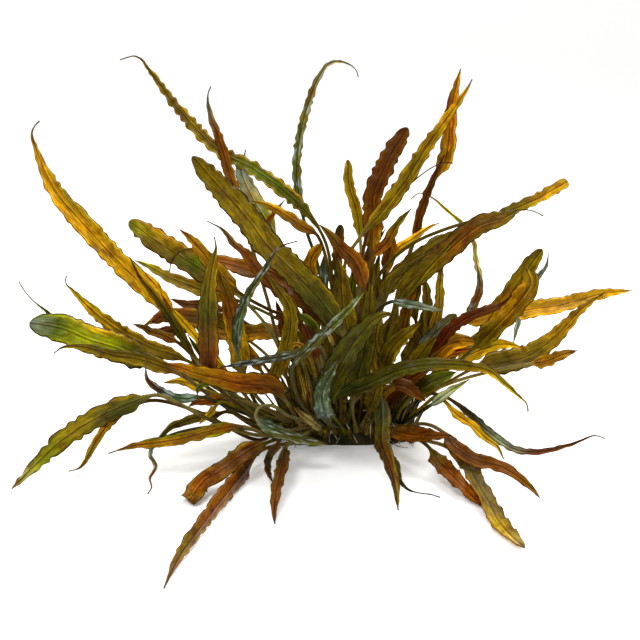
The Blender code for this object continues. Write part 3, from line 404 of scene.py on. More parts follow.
         [(14, 34, 4), (16, 66, 6), (21, 88, 8), (26, 99, 9), (34, 106, 10), (43, 114, 11),
          (52, 122, 12), (59, 126, 12), (65, 130, 12)]),
    Leaf("small_leaf_58", "olive", "point", (14, -8), 4, 1, 20,
         [(21, 56, 24), (29, 84, 32), (37, 94, 36), (46, 106, 40), (55, 116, 42), (64, 126, 44),
          (68, 130, 44)]),
    Leaf("small_leaf_59", "teal", "point", (20, 8), 7, 1, 25,
         [(44, 43, -30), (72, 77, -40), (75, 82, -42), (78, 89, -44), (80, 96, -46), (79, 104, -48),
          (78, 108, -48)]),
    Leaf("small_leaf_60", "russet", "point", (19, -10), 8, 1, 25,
         [(32, 30, 16), (49, 51, 26), (56, 61, 30), (62, 69, 34), (71, 76, 38), (82, 81, 42),
          (93, 85, 44), (100, 91, 46)]),
    Leaf("small_leaf_61", "orange", "point", (16, 4), 9, 1, 25,
         [(22, 34, -4), (30, 59, -6), (33, 72, -6), (36, 85, -6), (39, 94, -6), (40, 102, -6)]),
    Leaf("small_leaf_62", "olive", "blunt", (21, 1), 7, 1, 25,
         [(32, 34, -6), (46, 59, -10), (48, 74, -12), (47.5, 88, -12), (46, 100, -12)]),
    Leaf("small_leaf_63", "orange", "blunt", (-30, 8), 11, 2, 30,
         [(-47, 37, -20), (-63, 59, -26), (-71, 68, -28), (-84, 76.5, -28), (-96, 78, -28),
          (-108, 79, -28), (-118, 77, -28), (-123, 74, -28)]),
    Leaf("small_leaf_64", "russet", "point", (-13, 4), 14, 1, 25,
         [(-17, 43, -4), (-19, 66, -8), (-24, 83, -10), (-32, 91, -11), (-41, 100, -12),
          (-49, 106, -12), (-57, 109, -12)]),
    Leaf("small_leaf_65", "russet", "point", (12, 13), 6.5, 3, 20,
         [(22, 56, -34), (28, 88, -42), (33, 108, -44), (38, 122, -45), (42, 141, -46),
          (47, 156, -46), (52, 168, -46), (56, 177, -46)]),
    Leaf("small_leaf_66", "orange", "point", (-16, 13), 4, 2, 20,
         [(-31, 69, -34), (-38, 101, -44), (-50, 126, -48), (-52, 133, -48), (-47, 141, -48),
          (-40, 150, -48)]),
    Leaf("small_leaf_67", "amber", "point", (-34, 9), 7, 2, 25,
         [(-91, 37, 10), (-103, 66, 18), (-110, 81, 21), (-115, 89, 22), (-119, 95, 23),
          (-122, 100, 23), (-127, 105, 23), (-129, 109, 23)]),
    Leaf("small_leaf_68", "russet", "point", (-36, 8), 7, 2, 25,
         [(-85, 34, -2), (-97, 51, -4), (-107, 61, -4), (-115, 65, -4), (-123, 68, -4),
          (-129, 71, -4), (-135, 73, -4)]),
    Leaf("small_leaf_69", "olive", "point", (6, 11), 7, 1, 20,
         [(22, 56, -14), (18, 82, -18), (17, 94, -20), (16, 107, -21), (18, 118, -21)]),
    Leaf("small_leaf_70", "olive", "point", (19, 10), 6, 1, 20,
         [(47, 56, -14), (41, 74, -18), (40, 85, -20), (42, 94, -21), (44, 102, -21)]),
]
print("small leaves:", len(SMALL_LEAVES))

# %% [markdown]
# ## Midribs
#
# A midrib is a smooth curve through its points. Blender has curves of its own, but the points must
# be compared with each other by the hundred to keep the leaves apart, so the curves are worked out
# with numpy, where that takes a second, and handed to Blender afterwards.

# %% Sizes that all leaves share
# The pad that the stalks stand on: half its length, half its depth, its height and the gap over it.
PAD_LONG = 42.0
PAD_DEEP = 19.0
PAD_HIGH = 6.0
GAP = 0.3

# Half the width of a stalk, how far it rises before it bends, and how much of its bend it then has.
STALK_HALF = 1.1
STALK_RISE = 5.0
STALK_LEAN = 0.15

# A blade widens over its base, by a power of the share of it. It is never narrower than its stalk
# near the base and than TIP_HALF beyond.
BLADE_BASE = 0.2
BLADE_FLARE = 0.6
STALK_SHARE = 0.3
TIP_HALF = 0.35

# Width of a blade toward its tip is (1 - share ** a) ** b of its greatest.
TIP_FORMS = {
    "point": (3.2, 0.9),
    "taper": (2.0, 1.0),
    "drawn": (5.0, 1.7),
    "tail": (1.5, 2.0),
    "round": (7.0, 0.55),
    "blunt": (9.0, 0.5),
    "cut": (60.0, 0.4),
}

# Points of a curve between two points of its table, and places tested on each leaf.
SPAN_POINTS = 24
STATIONS = 64


# %% Curves
def unit(vectors):
    return vectors / np.maximum(np.linalg.norm(vectors, axis=-1, keepdims=True), 1e-9)


def dot(a, b):
    return np.sum(a * b, axis=-1, keepdims=True)


def place(seen):
    """World positions of (across, up, toward) points."""
    plane = np.stack([seen[..., 0], np.zeros(seen.shape[:-1]), seen[..., 1]], axis=-1)
    return EYE + (plane - EYE) * (1 + seen[..., 2:3] / EYE[1])


def seen_from_front(positions):
    """The (across, up, toward) of world positions."""
    toward = -positions[..., 1:2]
    plane = EYE + (positions - EYE) / (1 + toward / EYE[1])
    return np.concatenate([plane[..., [0, 2]], toward], axis=-1)


def curve_through(points, per_span):
    """A smooth curve through all the points, a centripetal Catmull-Rom spline."""
    points = np.array(points, float)
    ends = np.vstack([2 * points[0] - points[1], points, 2 * points[-1] - points[-2]])
    knots = np.concatenate([[0], np.cumsum(np.sqrt(np.linalg.norm(np.diff(ends, axis=0), axis=1)))])
    out = []
    for i in range(1, len(ends) - 2):
        p0, p1, p2, p3 = ends[i - 1: i + 3]
        t0, t1, t2, t3 = knots[i - 1: i + 3]
        t = np.linspace(t1, t2, per_span, endpoint=False)[:, None]
        a1 = ((t1 - t) * p0 + (t - t0) * p1) / (t1 - t0)
        a2 = ((t2 - t) * p1 + (t - t1) * p2) / (t2 - t1)
        a3 = ((t3 - t) * p2 + (t - t2) * p3) / (t3 - t2)
        b1 = ((t2 - t) * a1 + (t - t0) * a2) / (t2 - t0)
        b2 = ((t3 - t) * a2 + (t - t1) * a3) / (t3 - t1)
        out.append(((t2 - t) * b1 + (t - t1) * b2) / (t2 - t1))
    return np.vstack([*out, points[-1:]])


def lengths_along(positions):
    steps = np.linalg.norm(np.diff(positions, axis=-2), axis=-1)
    return np.concatenate([np.zeros((*steps.shape[:-1], 1)), np.cumsum(steps, axis=-1)], axis=-1)


def at_lengths(seen, wanted):
    """The points of one curve at the wanted distances from its foot."""
    along = lengths_along(place(seen))
    return np.stack([np.interp(wanted, along, seen[:, i]) for i in range(3)], axis=1)


# %% Width, direction and face of a blade
# How much of the direction across is carried on from the point before.
CARRIED_ON = 0.12


def half_widths(leaves, along, base):
    """Half the width of each leaf at each distance from its foot."""
    width, power, fullness = (np.array(column)[:, None] for column in zip(
        *((leaf.width, *TIP_FORMS[leaf.tip]) for leaf in leaves)))
    share = np.clip((along - base) / (along[:, -1:] - base), 0, 1)
    widening = np.minimum(1, share / BLADE_BASE) ** BLADE_FLARE
    blade = width / 2 * widening * (1 - share ** power) ** fullness
    return np.maximum(blade, np.where(share < STALK_SHARE, STALK_HALF, TIP_HALF))


def directions(positions, tilts):
    """Unit vectors along each leaf, across its blade and out of its face.

    The blade faces the front, turned by its tilt so that it also faces up. The direction across is
    partly carried on from the point before, which settles it where a leaf points at the front.
    """
    ahead = unit(np.gradient(positions, axis=1))
    to_eye = unit(EYE - positions)
    square = np.cross(ahead, to_eye)
    across = np.zeros_like(ahead)
    across[:, 0] = unit(square[:, 0])
    for k in range(1, positions.shape[1]):
        carried = across[:, k - 1] - ahead[:, k] * dot(across[:, k - 1], ahead[:, k])
        turn = np.where(dot(square[:, k], carried) < 0, -1.0, 1.0)
        sureness = np.linalg.norm(square[:, k], axis=-1, keepdims=True)
        mixed = turn * square[:, k] * sureness + CARRIED_ON * unit(carried)
        across[:, k] = unit(mixed - ahead[:, k] * dot(mixed, ahead[:, k]))
    face = np.cross(across, ahead)
    face *= np.where(dot(face[:, :1], to_eye[:, :1]) < 0, -1.0, 1.0)
    angle = np.radians(np.array(tilts, float))[:, None, None]
    middle = 2 * positions.shape[1] // 3
    up = np.cos(angle) * face - np.sin(angle) * across
    down = np.cos(angle) * face + np.sin(angle) * across
    angle = np.where((up[:, middle, 2] >= down[:, middle, 2])[:, None, None], angle, -angle)
    return (ahead, np.cos(angle) * across + np.sin(angle) * face,
            np.cos(angle) * face - np.sin(angle) * across)


class Midribs:
    """The midribs of all leaves, as evenly spaced points that may move to the front or the back."""

    def __init__(self, leaves):
        self.leaves = leaves
        self.tilts = [leaf.tilt for leaf in leaves]
        curves, shares = [], []
        for leaf in leaves:
            foot = np.array((*leaf.foot, PAD_HIGH + GAP))
            turn = place(np.array(leaf.path[0], float))
            rise = foot + (turn - foot) * (STALK_LEAN, STALK_LEAN, 0) + (0, 0, STALK_RISE)
            points = [seen_from_front(foot), seen_from_front(rise), *leaf.path]
            curve = curve_through(points, SPAN_POINTS)
            along = lengths_along(place(curve))
            shares.append(along[SPAN_POINTS * (leaf.start + 2)] / along[-1])
            curves.append(at_lengths(curve, np.linspace(0, along[-1], STATIONS)))
        self.seen = np.array(curves)
        self.base_shares = np.array(shares)[:, None]
        self.refresh()

    def refresh(self):
        self.positions = place(self.seen)
        self.along = lengths_along(self.positions)
        self.base = self.base_shares * self.along[:, -1:]
        self.half = half_widths(self.leaves, self.along, self.base)
        self.ahead, self.across, self.face = directions(self.positions, self.tilts)


# %% [markdown]
# ## Keeping the leaves apart
#
# Real leaves slide past each other. Two midribs that cross in the picture are pushed apart toward
# the front and the back, a little at a time, until there is room for both blades. A physics
# simulation could do the same, but it would also move the leaves sideways, away from where they are
# seen.

# %% Where leaves cross
# How near two places are seen to count as crossing, the room wanted there and above the ground,
# and how often the leaves are pushed.
REACH = 3.0
ROOM = 2.8
GROUND_ROOM = 1.8
ROUNDS = 120

# Up to these distances from its foot a leaf may touch others, may dip under its limits, and is
# held more or less in place.
MAY_TOUCH = 12.0
MAY_DIP = 14.0
HELD = 30.0

# Places across a blade that are tested. The slope of a blade that is seen on its edge is limited.
SHARES = np.array((-1.0, -0.5, 0.0, 0.5, 1.0))
LEAST_AREA = 0.25
STEEPEST = 2.0

# Stations that may lie between two pairs of one crossing, the margin around the pad, and a limit
# that is none.
SAME_CROSSING = 2
PAD_MARGIN = 4.0
NO_LIMIT = -1000.0

# A push is spread over this many stations each way, by a bell curve this wide.
SPREAD_REACH = 8
SPREAD_WIDTH = 2.5


def samples(midribs):
    """Points over every blade: where each is seen, how far toward, and the slope of that there."""
    reach = midribs.half[..., None] * SHARES
    points = midribs.positions[:, :, None] + midribs.across[:, :, None] * reach[..., None]
    seen = seen_from_front(points.reshape(-1, 3))
    a, b = midribs.ahead, midribs.across
    area = a[..., 0] * b[..., 2] - a[..., 2] * b[..., 0]
    area = np.where(np.abs(area) < LEAST_AREA, np.copysign(LEAST_AREA, area), area)
    slope = np.stack([b[..., 1] * a[..., 2] - a[..., 1] * b[..., 2],
                      a[..., 1] * b[..., 0] - b[..., 1] * a[..., 0]], axis=-1) / area[..., None]
    slope = np.repeat(np.clip(slope, -STEEPEST, STEEPEST).reshape(-1, 2), len(SHARES), axis=0)
    return seen[:, :2], seen[:, 2], slope


def crossings(seen, owner, settled):
    """Every pair of samples of two leaves, not both settled, that are seen in the same place."""
    tree = kdtree.KDTree(len(seen))
    for i, (x, z) in enumerate(seen):
        tree.insert((x, z, 0.0), i)
    tree.balance()
    pairs = [
        (i, j)
        for i, (x, z) in enumerate(seen)
        for _, j, _ in tree.find_range((x, z, 0.0), REACH)
        if owner[j] > owner[i] and owner[j] >= settled
    ]
    return np.array(pairs).T


def depth_between(midribs, first, second):
    """How far the first sample of each pair stands in front of the second, where both are seen."""
    seen, toward, slope = samples(midribs)
    lean = 0.5 * np.sum((slope[first] + slope[second]) * (seen[first] - seen[second]), axis=1)
    return toward[first] - toward[second] - lean


def front_or_back(owner, station, first, second, depth):
    """For each pair, 1 if its first leaf stays in front there and -1 if it stays behind.

    The pairs of two leaves that follow one another along the first leaf are one crossing.
    """
    order = np.lexsort((station[first], owner[second], owner[first]))
    one, two, where = owner[first][order], owner[second][order], station[first][order]
    new = (np.diff(one) != 0) | (np.diff(two) != 0) | (np.abs(np.diff(where)) > SAME_CROSSING)
    starts = np.concatenate([[0], np.flatnonzero(new) + 1])
    counts = np.diff([*starts, len(order)])
    total = np.add.reduceat(depth[order], starts)
    way = np.ones(len(order))
    way[order] = np.repeat(np.where(total >= 0, 1.0, -1.0), counts)
    return way


def ground_limit(midribs):
    """The least toward that keeps each point of a leaf above the ground and above the pad."""
    x, y = midribs.positions[..., 0], midribs.positions[..., 1]
    over_pad = (np.abs(x) < PAD_LONG + PAD_MARGIN) & (np.abs(y) < PAD_DEEP + PAD_MARGIN)
    height = np.where(over_pad, PAD_HIGH + STALK_HALF, 0.0) + GROUND_ROOM
    height = height + midribs.half * np.abs(midribs.across[..., 2])
    limit = -EYE[1] * (1 - (EYE[2] - height) / np.maximum(EYE[2] - midribs.seen[..., 1], 1.0))
    return np.where(midribs.along < MAY_DIP, NO_LIMIT, limit)


def spread(push):
    """The push smoothed along each leaf, so that it bends and doesn't kink."""
    reach = np.arange(-SPREAD_REACH, SPREAD_REACH + 1)
    weight = np.exp(-0.5 * (reach / SPREAD_WIDTH) ** 2)
    padded = np.pad(push, ((0, 0), (SPREAD_REACH, SPREAD_REACH)), mode="edge")
    windows = np.lib.stride_tricks.sliding_window_view(padded, len(reach), axis=1)
    return windows @ (weight / weight.sum())


# %% Push the leaves apart
def keep_apart(midribs, settled=0):
    """Moves leaves that would touch toward the front or the back; the first settled ones stay."""
    seen, _, _ = samples(midribs)
    place_of = np.repeat(np.arange(midribs.half.size), len(SHARES))
    owner, station = np.divmod(place_of, STATIONS)
    free = (np.arange(len(midribs.leaves)) >= settled)[:, None]
    first, second = crossings(seen, owner, settled)
    depth = depth_between(midribs, first, second)
    way = front_or_back(owner, station, first, second, depth)
    part_of = np.where(free[owner[first], 0] & free[owner[second], 0], 0.5, 1.0)
    near = midribs.along.ravel()[place_of]
    at_foot = np.minimum(near[first], near[second]) < MAY_TOUCH
    may_move = np.clip(midribs.along / HELD, 0, 1) * free
    for _ in range(ROUNDS):
        depth = depth_between(midribs, first, second) * way
        short = np.where(at_foot, 0.0, np.maximum(0.0, ROOM - depth))
        push = way * short * part_of
        forward = np.zeros(midribs.half.size)
        backward = np.zeros(midribs.half.size)
        for ends, way_out in ((first, push), (second, -push)):
            np.maximum.at(forward, place_of[ends], way_out)
            np.minimum.at(backward, place_of[ends], way_out)
        moves = spread((forward + backward).reshape(midribs.half.shape)) * may_move
        raised = np.maximum(midribs.seen[..., 2] + moves, ground_limit(midribs))
        midribs.seen[..., 2] = np.where(free, raised, midribs.seen[..., 2])
        midribs.refresh()
    print("places still short of room:", int((short > 0.5).sum()))
    return midribs


# %% Settle the long leaves first, then the small ones between them
long_midribs = keep_apart(Midribs(LEAVES))
all_midribs = Midribs(LEAVES + SMALL_LEAVES)
all_midribs.seen[:len(LEAVES)] = long_midribs.seen
all_midribs.refresh()
all_midribs = keep_apart(all_midribs, settled=len(LEAVES))
print("leaves in all:", len(all_midribs.leaves))

# %% [markdown]
# ## The midrib as Blender sees it
#
# Each settled midrib becomes a chain of edges. Every point of the chain carries what the section
# needs there: the way across the blade, the way out of its face, half the width, how far the stalk
# has flattened into blade, the height of the waves, the colour, and which side of the blade has
# painted light and which has painted shade. These are stored as named attributes, which Geometry
# Nodes can read.

# %% Colours of the leaves
def linear(red, green, blue):
    """A colour as screens give it, from 0 to 255, as the linear one that shaders use."""
    shares = (c / 255 for c in (red, green, blue))
    return np.array([c / 12.92 if c < 11 / 255 else ((c + 0.055) / 1.055) ** 2.4 for c in shares])


TONES = {
    "gold": linear(190, 152, 6),
    "amber": linear(156, 114, 2),
    "yellow": linear(210, 180, 16),
    "orange": linear(156, 86, 0),
    "rust": linear(124, 70, 0),
    "russet": linear(92, 48, 2),
    "wine": linear(98, 38, 6),
    "olive": linear(106, 88, 0),
    "brass": linear(140, 120, 8),
    "moss": linear(68, 68, 4),
    "green": linear(88, 104, 6),
    "lime": linear(148, 154, 8),
    "teal": linear(68, 88, 56),
    "dark": linear(42, 36, 8),
    "straw": linear(188, 174, 112),
    # The next tone is a painted sheen: the pale grey-green of light reflected off a glossy blade.
    "silver": linear(140, 154, 134),
}

# The rim of a blade is lighter than its middle, partly by its own colour and partly by painted
# light shining through the thin edge.
RIM_OF = {
    "gold": "yellow",
    "amber": "gold",
    "yellow": "yellow",
    "orange": "amber",
    "rust": "amber",
    "russet": "rust",
    "wine": "russet",
    "brass": "gold",
    "olive": "brass",
    "moss": "olive",
    "green": "lime",
    "lime": "yellow",
    "teal": "moss",
    "dark": "moss",
    "straw": "straw",
    "silver": "teal",
}

# A few leaves have a rim of one tone all along.
RIMS = {
    "leaf_03": "gold",
    "leaf_05": "olive",
    "leaf_06": "amber",
    "leaf_19": "olive",
    "leaf_21": "lime",
    "leaf_22": "amber",
    "leaf_23": "amber",
    "leaf_24": "olive",
    "leaf_25": "moss",
    "leaf_29": "olive",
    "leaf_30": "rust",
    "leaf_31": "rust",
    "leaf_32": "amber",
    "leaf_33": "rust",
    "leaf_43": "olive",
    "leaf_48": "amber",
    "leaf_54": "moss",
}

# The middle of each blade from its base to its tip. A leaf that isn't named has its own tone. The
# pale grey-green sheen tone in a row is a painted sheen.
MIDDLES = {
    "leaf_01": "gold gold gold gold gold amber",
    "leaf_02": "olive moss olive rust",
    "leaf_03": "moss moss green olive olive olive teal",
    "leaf_04": "russet rust rust silver",
    "leaf_05": "moss moss moss olive olive brass olive olive",
    "leaf_06": "olive orange green olive brass lime",
    "leaf_07": "rust rust orange olive moss",
    "leaf_08": "olive amber amber amber",
    "leaf_09": "russet russet moss olive olive",
    "leaf_10": "brass wine rust teal",
    "leaf_11": "moss teal moss moss russet",
    "leaf_12": "gold brass brass lime",
    "leaf_13": "rust amber amber amber brass",
    "leaf_14": "olive brass brass yellow lime",
    "leaf_15": "dark moss lime lime green silver",
    "leaf_16": "russet olive olive olive olive",
    "leaf_17": "olive rust orange amber orange",
    "leaf_18": "moss teal teal dark russet dark",
    "leaf_19": "moss moss brass lime straw",
    "leaf_20": "orange amber brass amber",
    "leaf_21": "rust amber amber rust",
    "leaf_22": "olive russet rust orange amber",
    "leaf_23": "wine russet rust rust olive rust",
    "leaf_24": "olive russet rust rust",
    "leaf_25": "silver teal moss moss moss olive",
    "leaf_26": "lime lime straw silver teal",
    "leaf_27": "olive gold rust olive",
    "leaf_28": "brass brass brass olive",
    "leaf_29": "teal moss russet olive",
    "leaf_30": "olive rust rust rust",
    "leaf_31": "olive rust orange orange",
    "leaf_32": "gold olive olive brass yellow straw",
    "leaf_33": "rust russet russet rust brass",
    "leaf_34": "dark dark silver wine russet wine",
    "leaf_35": "gold gold yellow straw",
    "leaf_36": "teal moss moss brass lime",
    "leaf_37": "olive olive brass gold brass",
    "leaf_38": "brass gold gold gold",
    "leaf_39": "orange amber amber brass olive",
    "leaf_40": "olive olive amber amber brass",
    "leaf_41": "straw straw lime yellow",
    "leaf_42": "moss olive gold gold",
    "leaf_43": "olive olive rust olive",
    "leaf_44": "amber amber orange gold",
    "leaf_45": "olive brass brass gold gold",
    "leaf_46": "brass rust russet russet russet",
    "leaf_47": "lime brass brass brass",
    "leaf_48": "green green olive silver",
    "leaf_49": "dark russet dark",
    "leaf_50": "rust rust russet olive",
    "leaf_51": "moss moss moss olive",
    "leaf_52": "moss moss green",
    "leaf_53": "moss dark dark",
    "leaf_54": "dark moss moss moss moss olive",
    "leaf_55": "moss teal silver silver",
    "leaf_56": "moss olive olive brass",
    "leaf_57": "amber brass olive",
    "leaf_58": "orange rust russet",
    "leaf_59": "orange rust olive moss",
    "small_leaf_02": "wine russet",
    "small_leaf_03": "russet dark russet",
    "small_leaf_04": "olive moss",
    "small_leaf_05": "rust gold",
    "small_leaf_16": "moss silver moss rust silver",
    "small_leaf_17": "straw straw rust",
    "small_leaf_22": "moss dark dark",
    "small_leaf_24": "silver teal silver",
    "small_leaf_25": "silver",
    "small_leaf_31": "moss moss green",
    "small_leaf_32": "silver lime",
    "small_leaf_33": "silver olive",
    "small_leaf_35": "wine wine russet",
    "small_leaf_38": "wine russet",
    "small_leaf_41": "lime",
    "small_leaf_42": "straw",
    "small_leaf_51": "dark teal teal moss",
    "small_leaf_52": "olive",
    "small_leaf_53": "straw gold",
    "small_leaf_54": "amber straw",
    "small_leaf_55": "gold straw",
    "small_leaf_58": "moss olive moss",
    "small_leaf_59": "olive rust silver",
    "small_leaf_60": "wine wine russet",
    "small_leaf_61": "olive rust",
    "small_leaf_63": "olive moss rust russet",
    "small_leaf_64": "russet russet rust",
    "small_leaf_67": "amber gold",
    "small_leaf_68": "rust olive",
}


def run_through(names, shares):
    """The colour at each share of a row of tones that run into one another."""
    tones = np.array([TONES[name] for name in names])
    stops = np.linspace(0, 1, len(tones))
    return np.stack([np.interp(shares, stops, tones[:, i]) for i in range(3)], axis=1)


# A leaf is up to TINT lighter or darker than its tones, and its stalk up to PALEST toward straw.
# A stalk has STALK_TONE of the leaf's tone, the rest is dark. The tip darkens from DARK_FROM on.
TINT = 0.2
PALEST = 0.6
STALK_TONE = 0.3
DARK_FROM = 0.95
TIP_DARK = 0.5


def colours_along(leaf, number, blade_share, on_blade):
    """The colours of the middle and of the rim at each point of a midrib: stalk, then blade."""
    middles = MIDDLES.get(leaf.name, leaf.tone).split()
    rims = [RIMS.get(leaf.name, RIM_OF[name]) for name in middles]
    tint = 1 + TINT * noise.noise((number * 1.7, 3.3, 0.0))
    pale = max(0.0, PALEST * noise.noise((number * 2.9, 7.7, 0.0)))
    stalk = STALK_TONE * TONES[RIM_OF[leaf.tone]] + (1 - STALK_TONE) * TONES["dark"]
    stalk = stalk + (TONES["straw"] - stalk) * pale
    tip_dark = np.clip((blade_share - DARK_FROM) / (1 - DARK_FROM), 0, 1)[:, None] * TIP_DARK
    both = []
    for names in (middles, rims):
        mixed = stalk + (run_through(names, blade_share) * tint - stalk) * on_blade[:, None]
        both.append(mixed + (TONES["dark"] - mixed) * tip_dark)
    return both


# %% A midrib as a chain of edges with attributes
# Steps between points on stalk and blade, the least number of each, how far the last points are
# from the tip, and how many points the fine curve has between two stations.
STALK_STEP = 3.5
BLADE_STEP = 1.1
STALK_POINTS = 6
BLADE_POINTS = 16
BEFORE_TIP = np.array((0.15, 0.4, 0.75))
FINE_SPAN_POINTS = 6

# Height of the waves of the edges, for most leaves and for strongly waved ones. Waves reach their
# full height where half the blade is FULL_WAVE_HALF wide, and die away over the last WAVES_END.
WAVE_HIGH = 0.55
WAVE_HIGHER = 0.8
STRONG = {"leaf_03", "leaf_06", "leaf_19", "leaf_22", "leaf_31", "leaf_40", "leaf_41", "leaf_46",
          "leaf_48"}
FULL_WAVE_HALF = 4.0
WAVES_END = 8.0

# Length of the waves, for most leaves, for short waves and for leaves that come toward the front.
WAVE_LONG = 9.5
WAVE_SHORT = 7.5
WAVE_AHEAD = 16.0
SHORT = {"leaf_03", "leaf_05", "leaf_42", "leaf_46", "leaf_48"}
AHEAD = {"leaf_22", "leaf_23", "leaf_24", "leaf_29", "leaf_31", "leaf_32", "leaf_33"}

# The stalk has flattened into blade after this share of the blade.
FLAT_AFTER = 0.15

# The blade turns slowly by up to TWIST degrees, but not over the last TWIST_END, and its width
# swells a little. One of its sides has painted light and the other painted shade, as if light fell
# on one half. Each has its pace along the leaf.
TWIST = 15.0
TWIST_PACE = 0.022
TWIST_END = 12.0
SWELL = 0.07
SWELL_PACE = 0.09
LIT_SIDE = 1.8
LIT_SIDE_PACE = 0.012

# At its foot a stalk widens into a sheath.
SHEATH_HALF = 1.5
SHEATH_LONG = 9.0


def fine_stations(midribs, number):
    base, length = midribs.base[number, 0], midribs.along[number, -1]
    stalk = np.linspace(0, base, max(STALK_POINTS, round(base / STALK_STEP)), endpoint=False)
    blade = np.linspace(base, length, max(BLADE_POINTS, round((length - base) / BLADE_STEP)) + 1)
    return np.sort(np.concatenate([stalk, blade, length - BEFORE_TIP]))


def slow_noise(along, pace, start, row):
    """Noise that goes along a leaf at this pace a millimetre."""
    return np.array([noise.noise((s * pace, start, row)) for s in along])


def carry(mesh, name, values, kind="FLOAT", part="value"):
    """Stores values on the points of a mesh under a name."""
    mesh.attributes.new(name, kind, "POINT").data.foreach_set(part, np.ravel(values))


def midrib_chain(midribs, number):
    """The mesh of one midrib, its points carrying what the leaf's section needs there."""
    leaf = midribs.leaves[number]
    along = fine_stations(midribs, number)
    positions = place(at_lengths(curve_through(midribs.seen[number], FINE_SPAN_POINTS), along))
    base, length = midribs.base[number, 0], along[-1]
    half = half_widths([leaf], along[None], base)[0]
    ahead, across, face = (part[0] for part in directions(positions[None], [leaf.tilt]))
    share = np.clip((along - base) / (length - base), 0, 1)
    to_tip = length - along
    flat = np.minimum(1, share / FLAT_AFTER)
    flat = flat * flat * (3 - 2 * flat)
    wander = slow_noise(along, TWIST_PACE, number * 3.1, 5.0)
    turn = (math.radians(TWIST) * wander * flat * np.clip(to_tip / TWIST_END, 0, 1))[:, None]
    across, face = (across * np.cos(turn) + face * np.sin(turn),
                    face * np.cos(turn) - across * np.sin(turn))
    half = half * (1 + SWELL * slow_noise(along, SWELL_PACE, number * 2.3, 8.0) * flat)
    strength = WAVE_HIGHER if leaf.name in STRONG else WAVE_HIGH
    strength = strength * (1 + 0.3 * noise.noise((number * 1.3, 6.0, 0.0)))
    wave = strength * flat * np.minimum(1, half / FULL_WAVE_HALF)
    wave = wave * np.clip(to_tip / WAVES_END, 0, 1)
    stalk = STALK_HALF * (1 + 0.15 * noise.noise((number * 0.9, 1.0, 0.0)))
    stalk = stalk + SHEATH_HALF * np.exp(-(along / SHEATH_LONG) ** 2)
    # Which side of the blade has painted light and which has painted shade, and how much.
    lean = LIT_SIDE * slow_noise(along, LIT_SIDE_PACE, number * 5.1, 2.0)

    mesh = bpy.data.meshes.new("midrib")
    edges = [(k, k + 1) for k in range(len(along) - 1)]
    mesh.from_pydata([tuple(point * MM) for point in positions], edges, [])
    carry(mesh, "across", across, "FLOAT_VECTOR", "vector")
    carry(mesh, "face", face, "FLOAT_VECTOR", "vector")
    numbers = {
        "half": half * MM,
        "stalk": stalk * MM,
        "flat": flat,
        "wave": wave * MM,
        "along": along * MM,
        "lean": lean,
    }
    for name, values in numbers.items():
        carry(mesh, name, values)
    for name, colours in zip(("tone", "rim"), colours_along(leaf, number, share, flat)):
        opaque = np.column_stack([colours, np.ones(len(along))])
        carry(mesh, name, opaque, "FLOAT_COLOR", "color")
    return mesh


# %% [markdown]
# ## One Geometry Nodes tree for every leaf
#
# The tree sweeps a ring of points along the midrib and then puts each ring where the section says:
# a round stalk that opens into a thin blade, folded a little along a raised midrib, with edges that
# rise and fall in waves. The same could be lofted in mesh code, as the solids are, but as a tree
# the sizes stay inputs that can be turned.

# %% Small helpers for node trees
def add_node(tree, kind, values=(), **settings):
    """A new node. A value is a number, a colour or another node's output, which is linked."""
    made = tree.nodes.new(kind)
    made.location = (180 * (len(tree.nodes) % 24), -220 * (len(tree.nodes) // 24))
    for name, value in settings.items():
        setattr(made, name, value)
    for key, value in dict(values).items():
        if isinstance(value, bpy.types.NodeSocket):
            tree.links.new(value, made.inputs[key])
        else:
            made.inputs[key].default_value = value
    return made


def calculate(tree, operation, *values, clamp=False):
    """The output of a Math node on the values."""
    made = add_node(tree, "ShaderNodeMath", enumerate(values), operation=operation, use_clamp=clamp)
    return made.outputs[0]


def plus(tree, one, other, clamp=False):
    return calculate(tree, "ADD", one, other, clamp=clamp)


def minus(tree, one, other, clamp=False):
    return calculate(tree, "SUBTRACT", one, other, clamp=clamp)


def times(tree, one, other):
    return calculate(tree, "MULTIPLY", one, other)


def ratio(tree, one, other):
    return calculate(tree, "DIVIDE", one, other)


def size_of(tree, value):
    """The value without its sign."""
    return calculate(tree, "ABSOLUTE", value)


def split(tree, vector):
    """The outputs with the three numbers of a vector."""
    return add_node(tree, "ShaderNodeSeparateXYZ", {0: vector}).outputs


def scaled(tree, vector, scale):
    made = add_node(tree, "ShaderNodeVectorMath", {0: vector}, operation="SCALE")
    tree.links.new(scale, made.inputs["Scale"])
    return made.outputs[0]


def added(tree, one, other):
    return add_node(tree, "ShaderNodeVectorMath", {0: one, 1: other}, operation="ADD").outputs[0]


def blended(tree, share, start, end):
    """A number between start and end by share."""
    return add_node(tree, "ShaderNodeMix", {0: share, 2: start, 3: end},
                    data_type="FLOAT").outputs[0]


def named(tree, name, data_type="FLOAT"):
    made = add_node(tree, "GeometryNodeInputNamedAttribute", {"Name": name}, data_type=data_type)
    return made.outputs["Attribute"]


def set_inputs(modifier, values):
    """Sets a Geometry Nodes modifier's inputs, which go by their sockets' identifiers."""
    for item in modifier.node_group.interface.items_tree:
        if item.item_type == "SOCKET" and item.in_out == "INPUT" and item.name in values:
            modifier[item.identifier] = values[item.name]


# %% The leaf tree
# The points of a ring crowd this much toward the middle of the blade, and the blade thins toward
# its edges by this power.
TOWARD_MIDDLE = 0.25
EDGE_POWER = 6.0

# A blade has this share of its thickness where it is narrowest. The share grows by 1 over so many
# millimetres of half width, but not past the whole.
LEAST_THICK = 0.45
THICKENS_OVER = 7.0

# How far apart the noise of the two edges is, and how fast each noise goes along a leaf, a metre.
EDGES_APART = 7.3
SHIFT_PACE = 42.0
HEIGHT_PACE = 70.0
RAGGED_PACE = 420.0

# How far noise shifts the waves, and the height that noise gives them: gain times noise plus start.
SHIFT = 13.0
HEIGHT_GAIN = 2.6
HEIGHT_START = -0.3

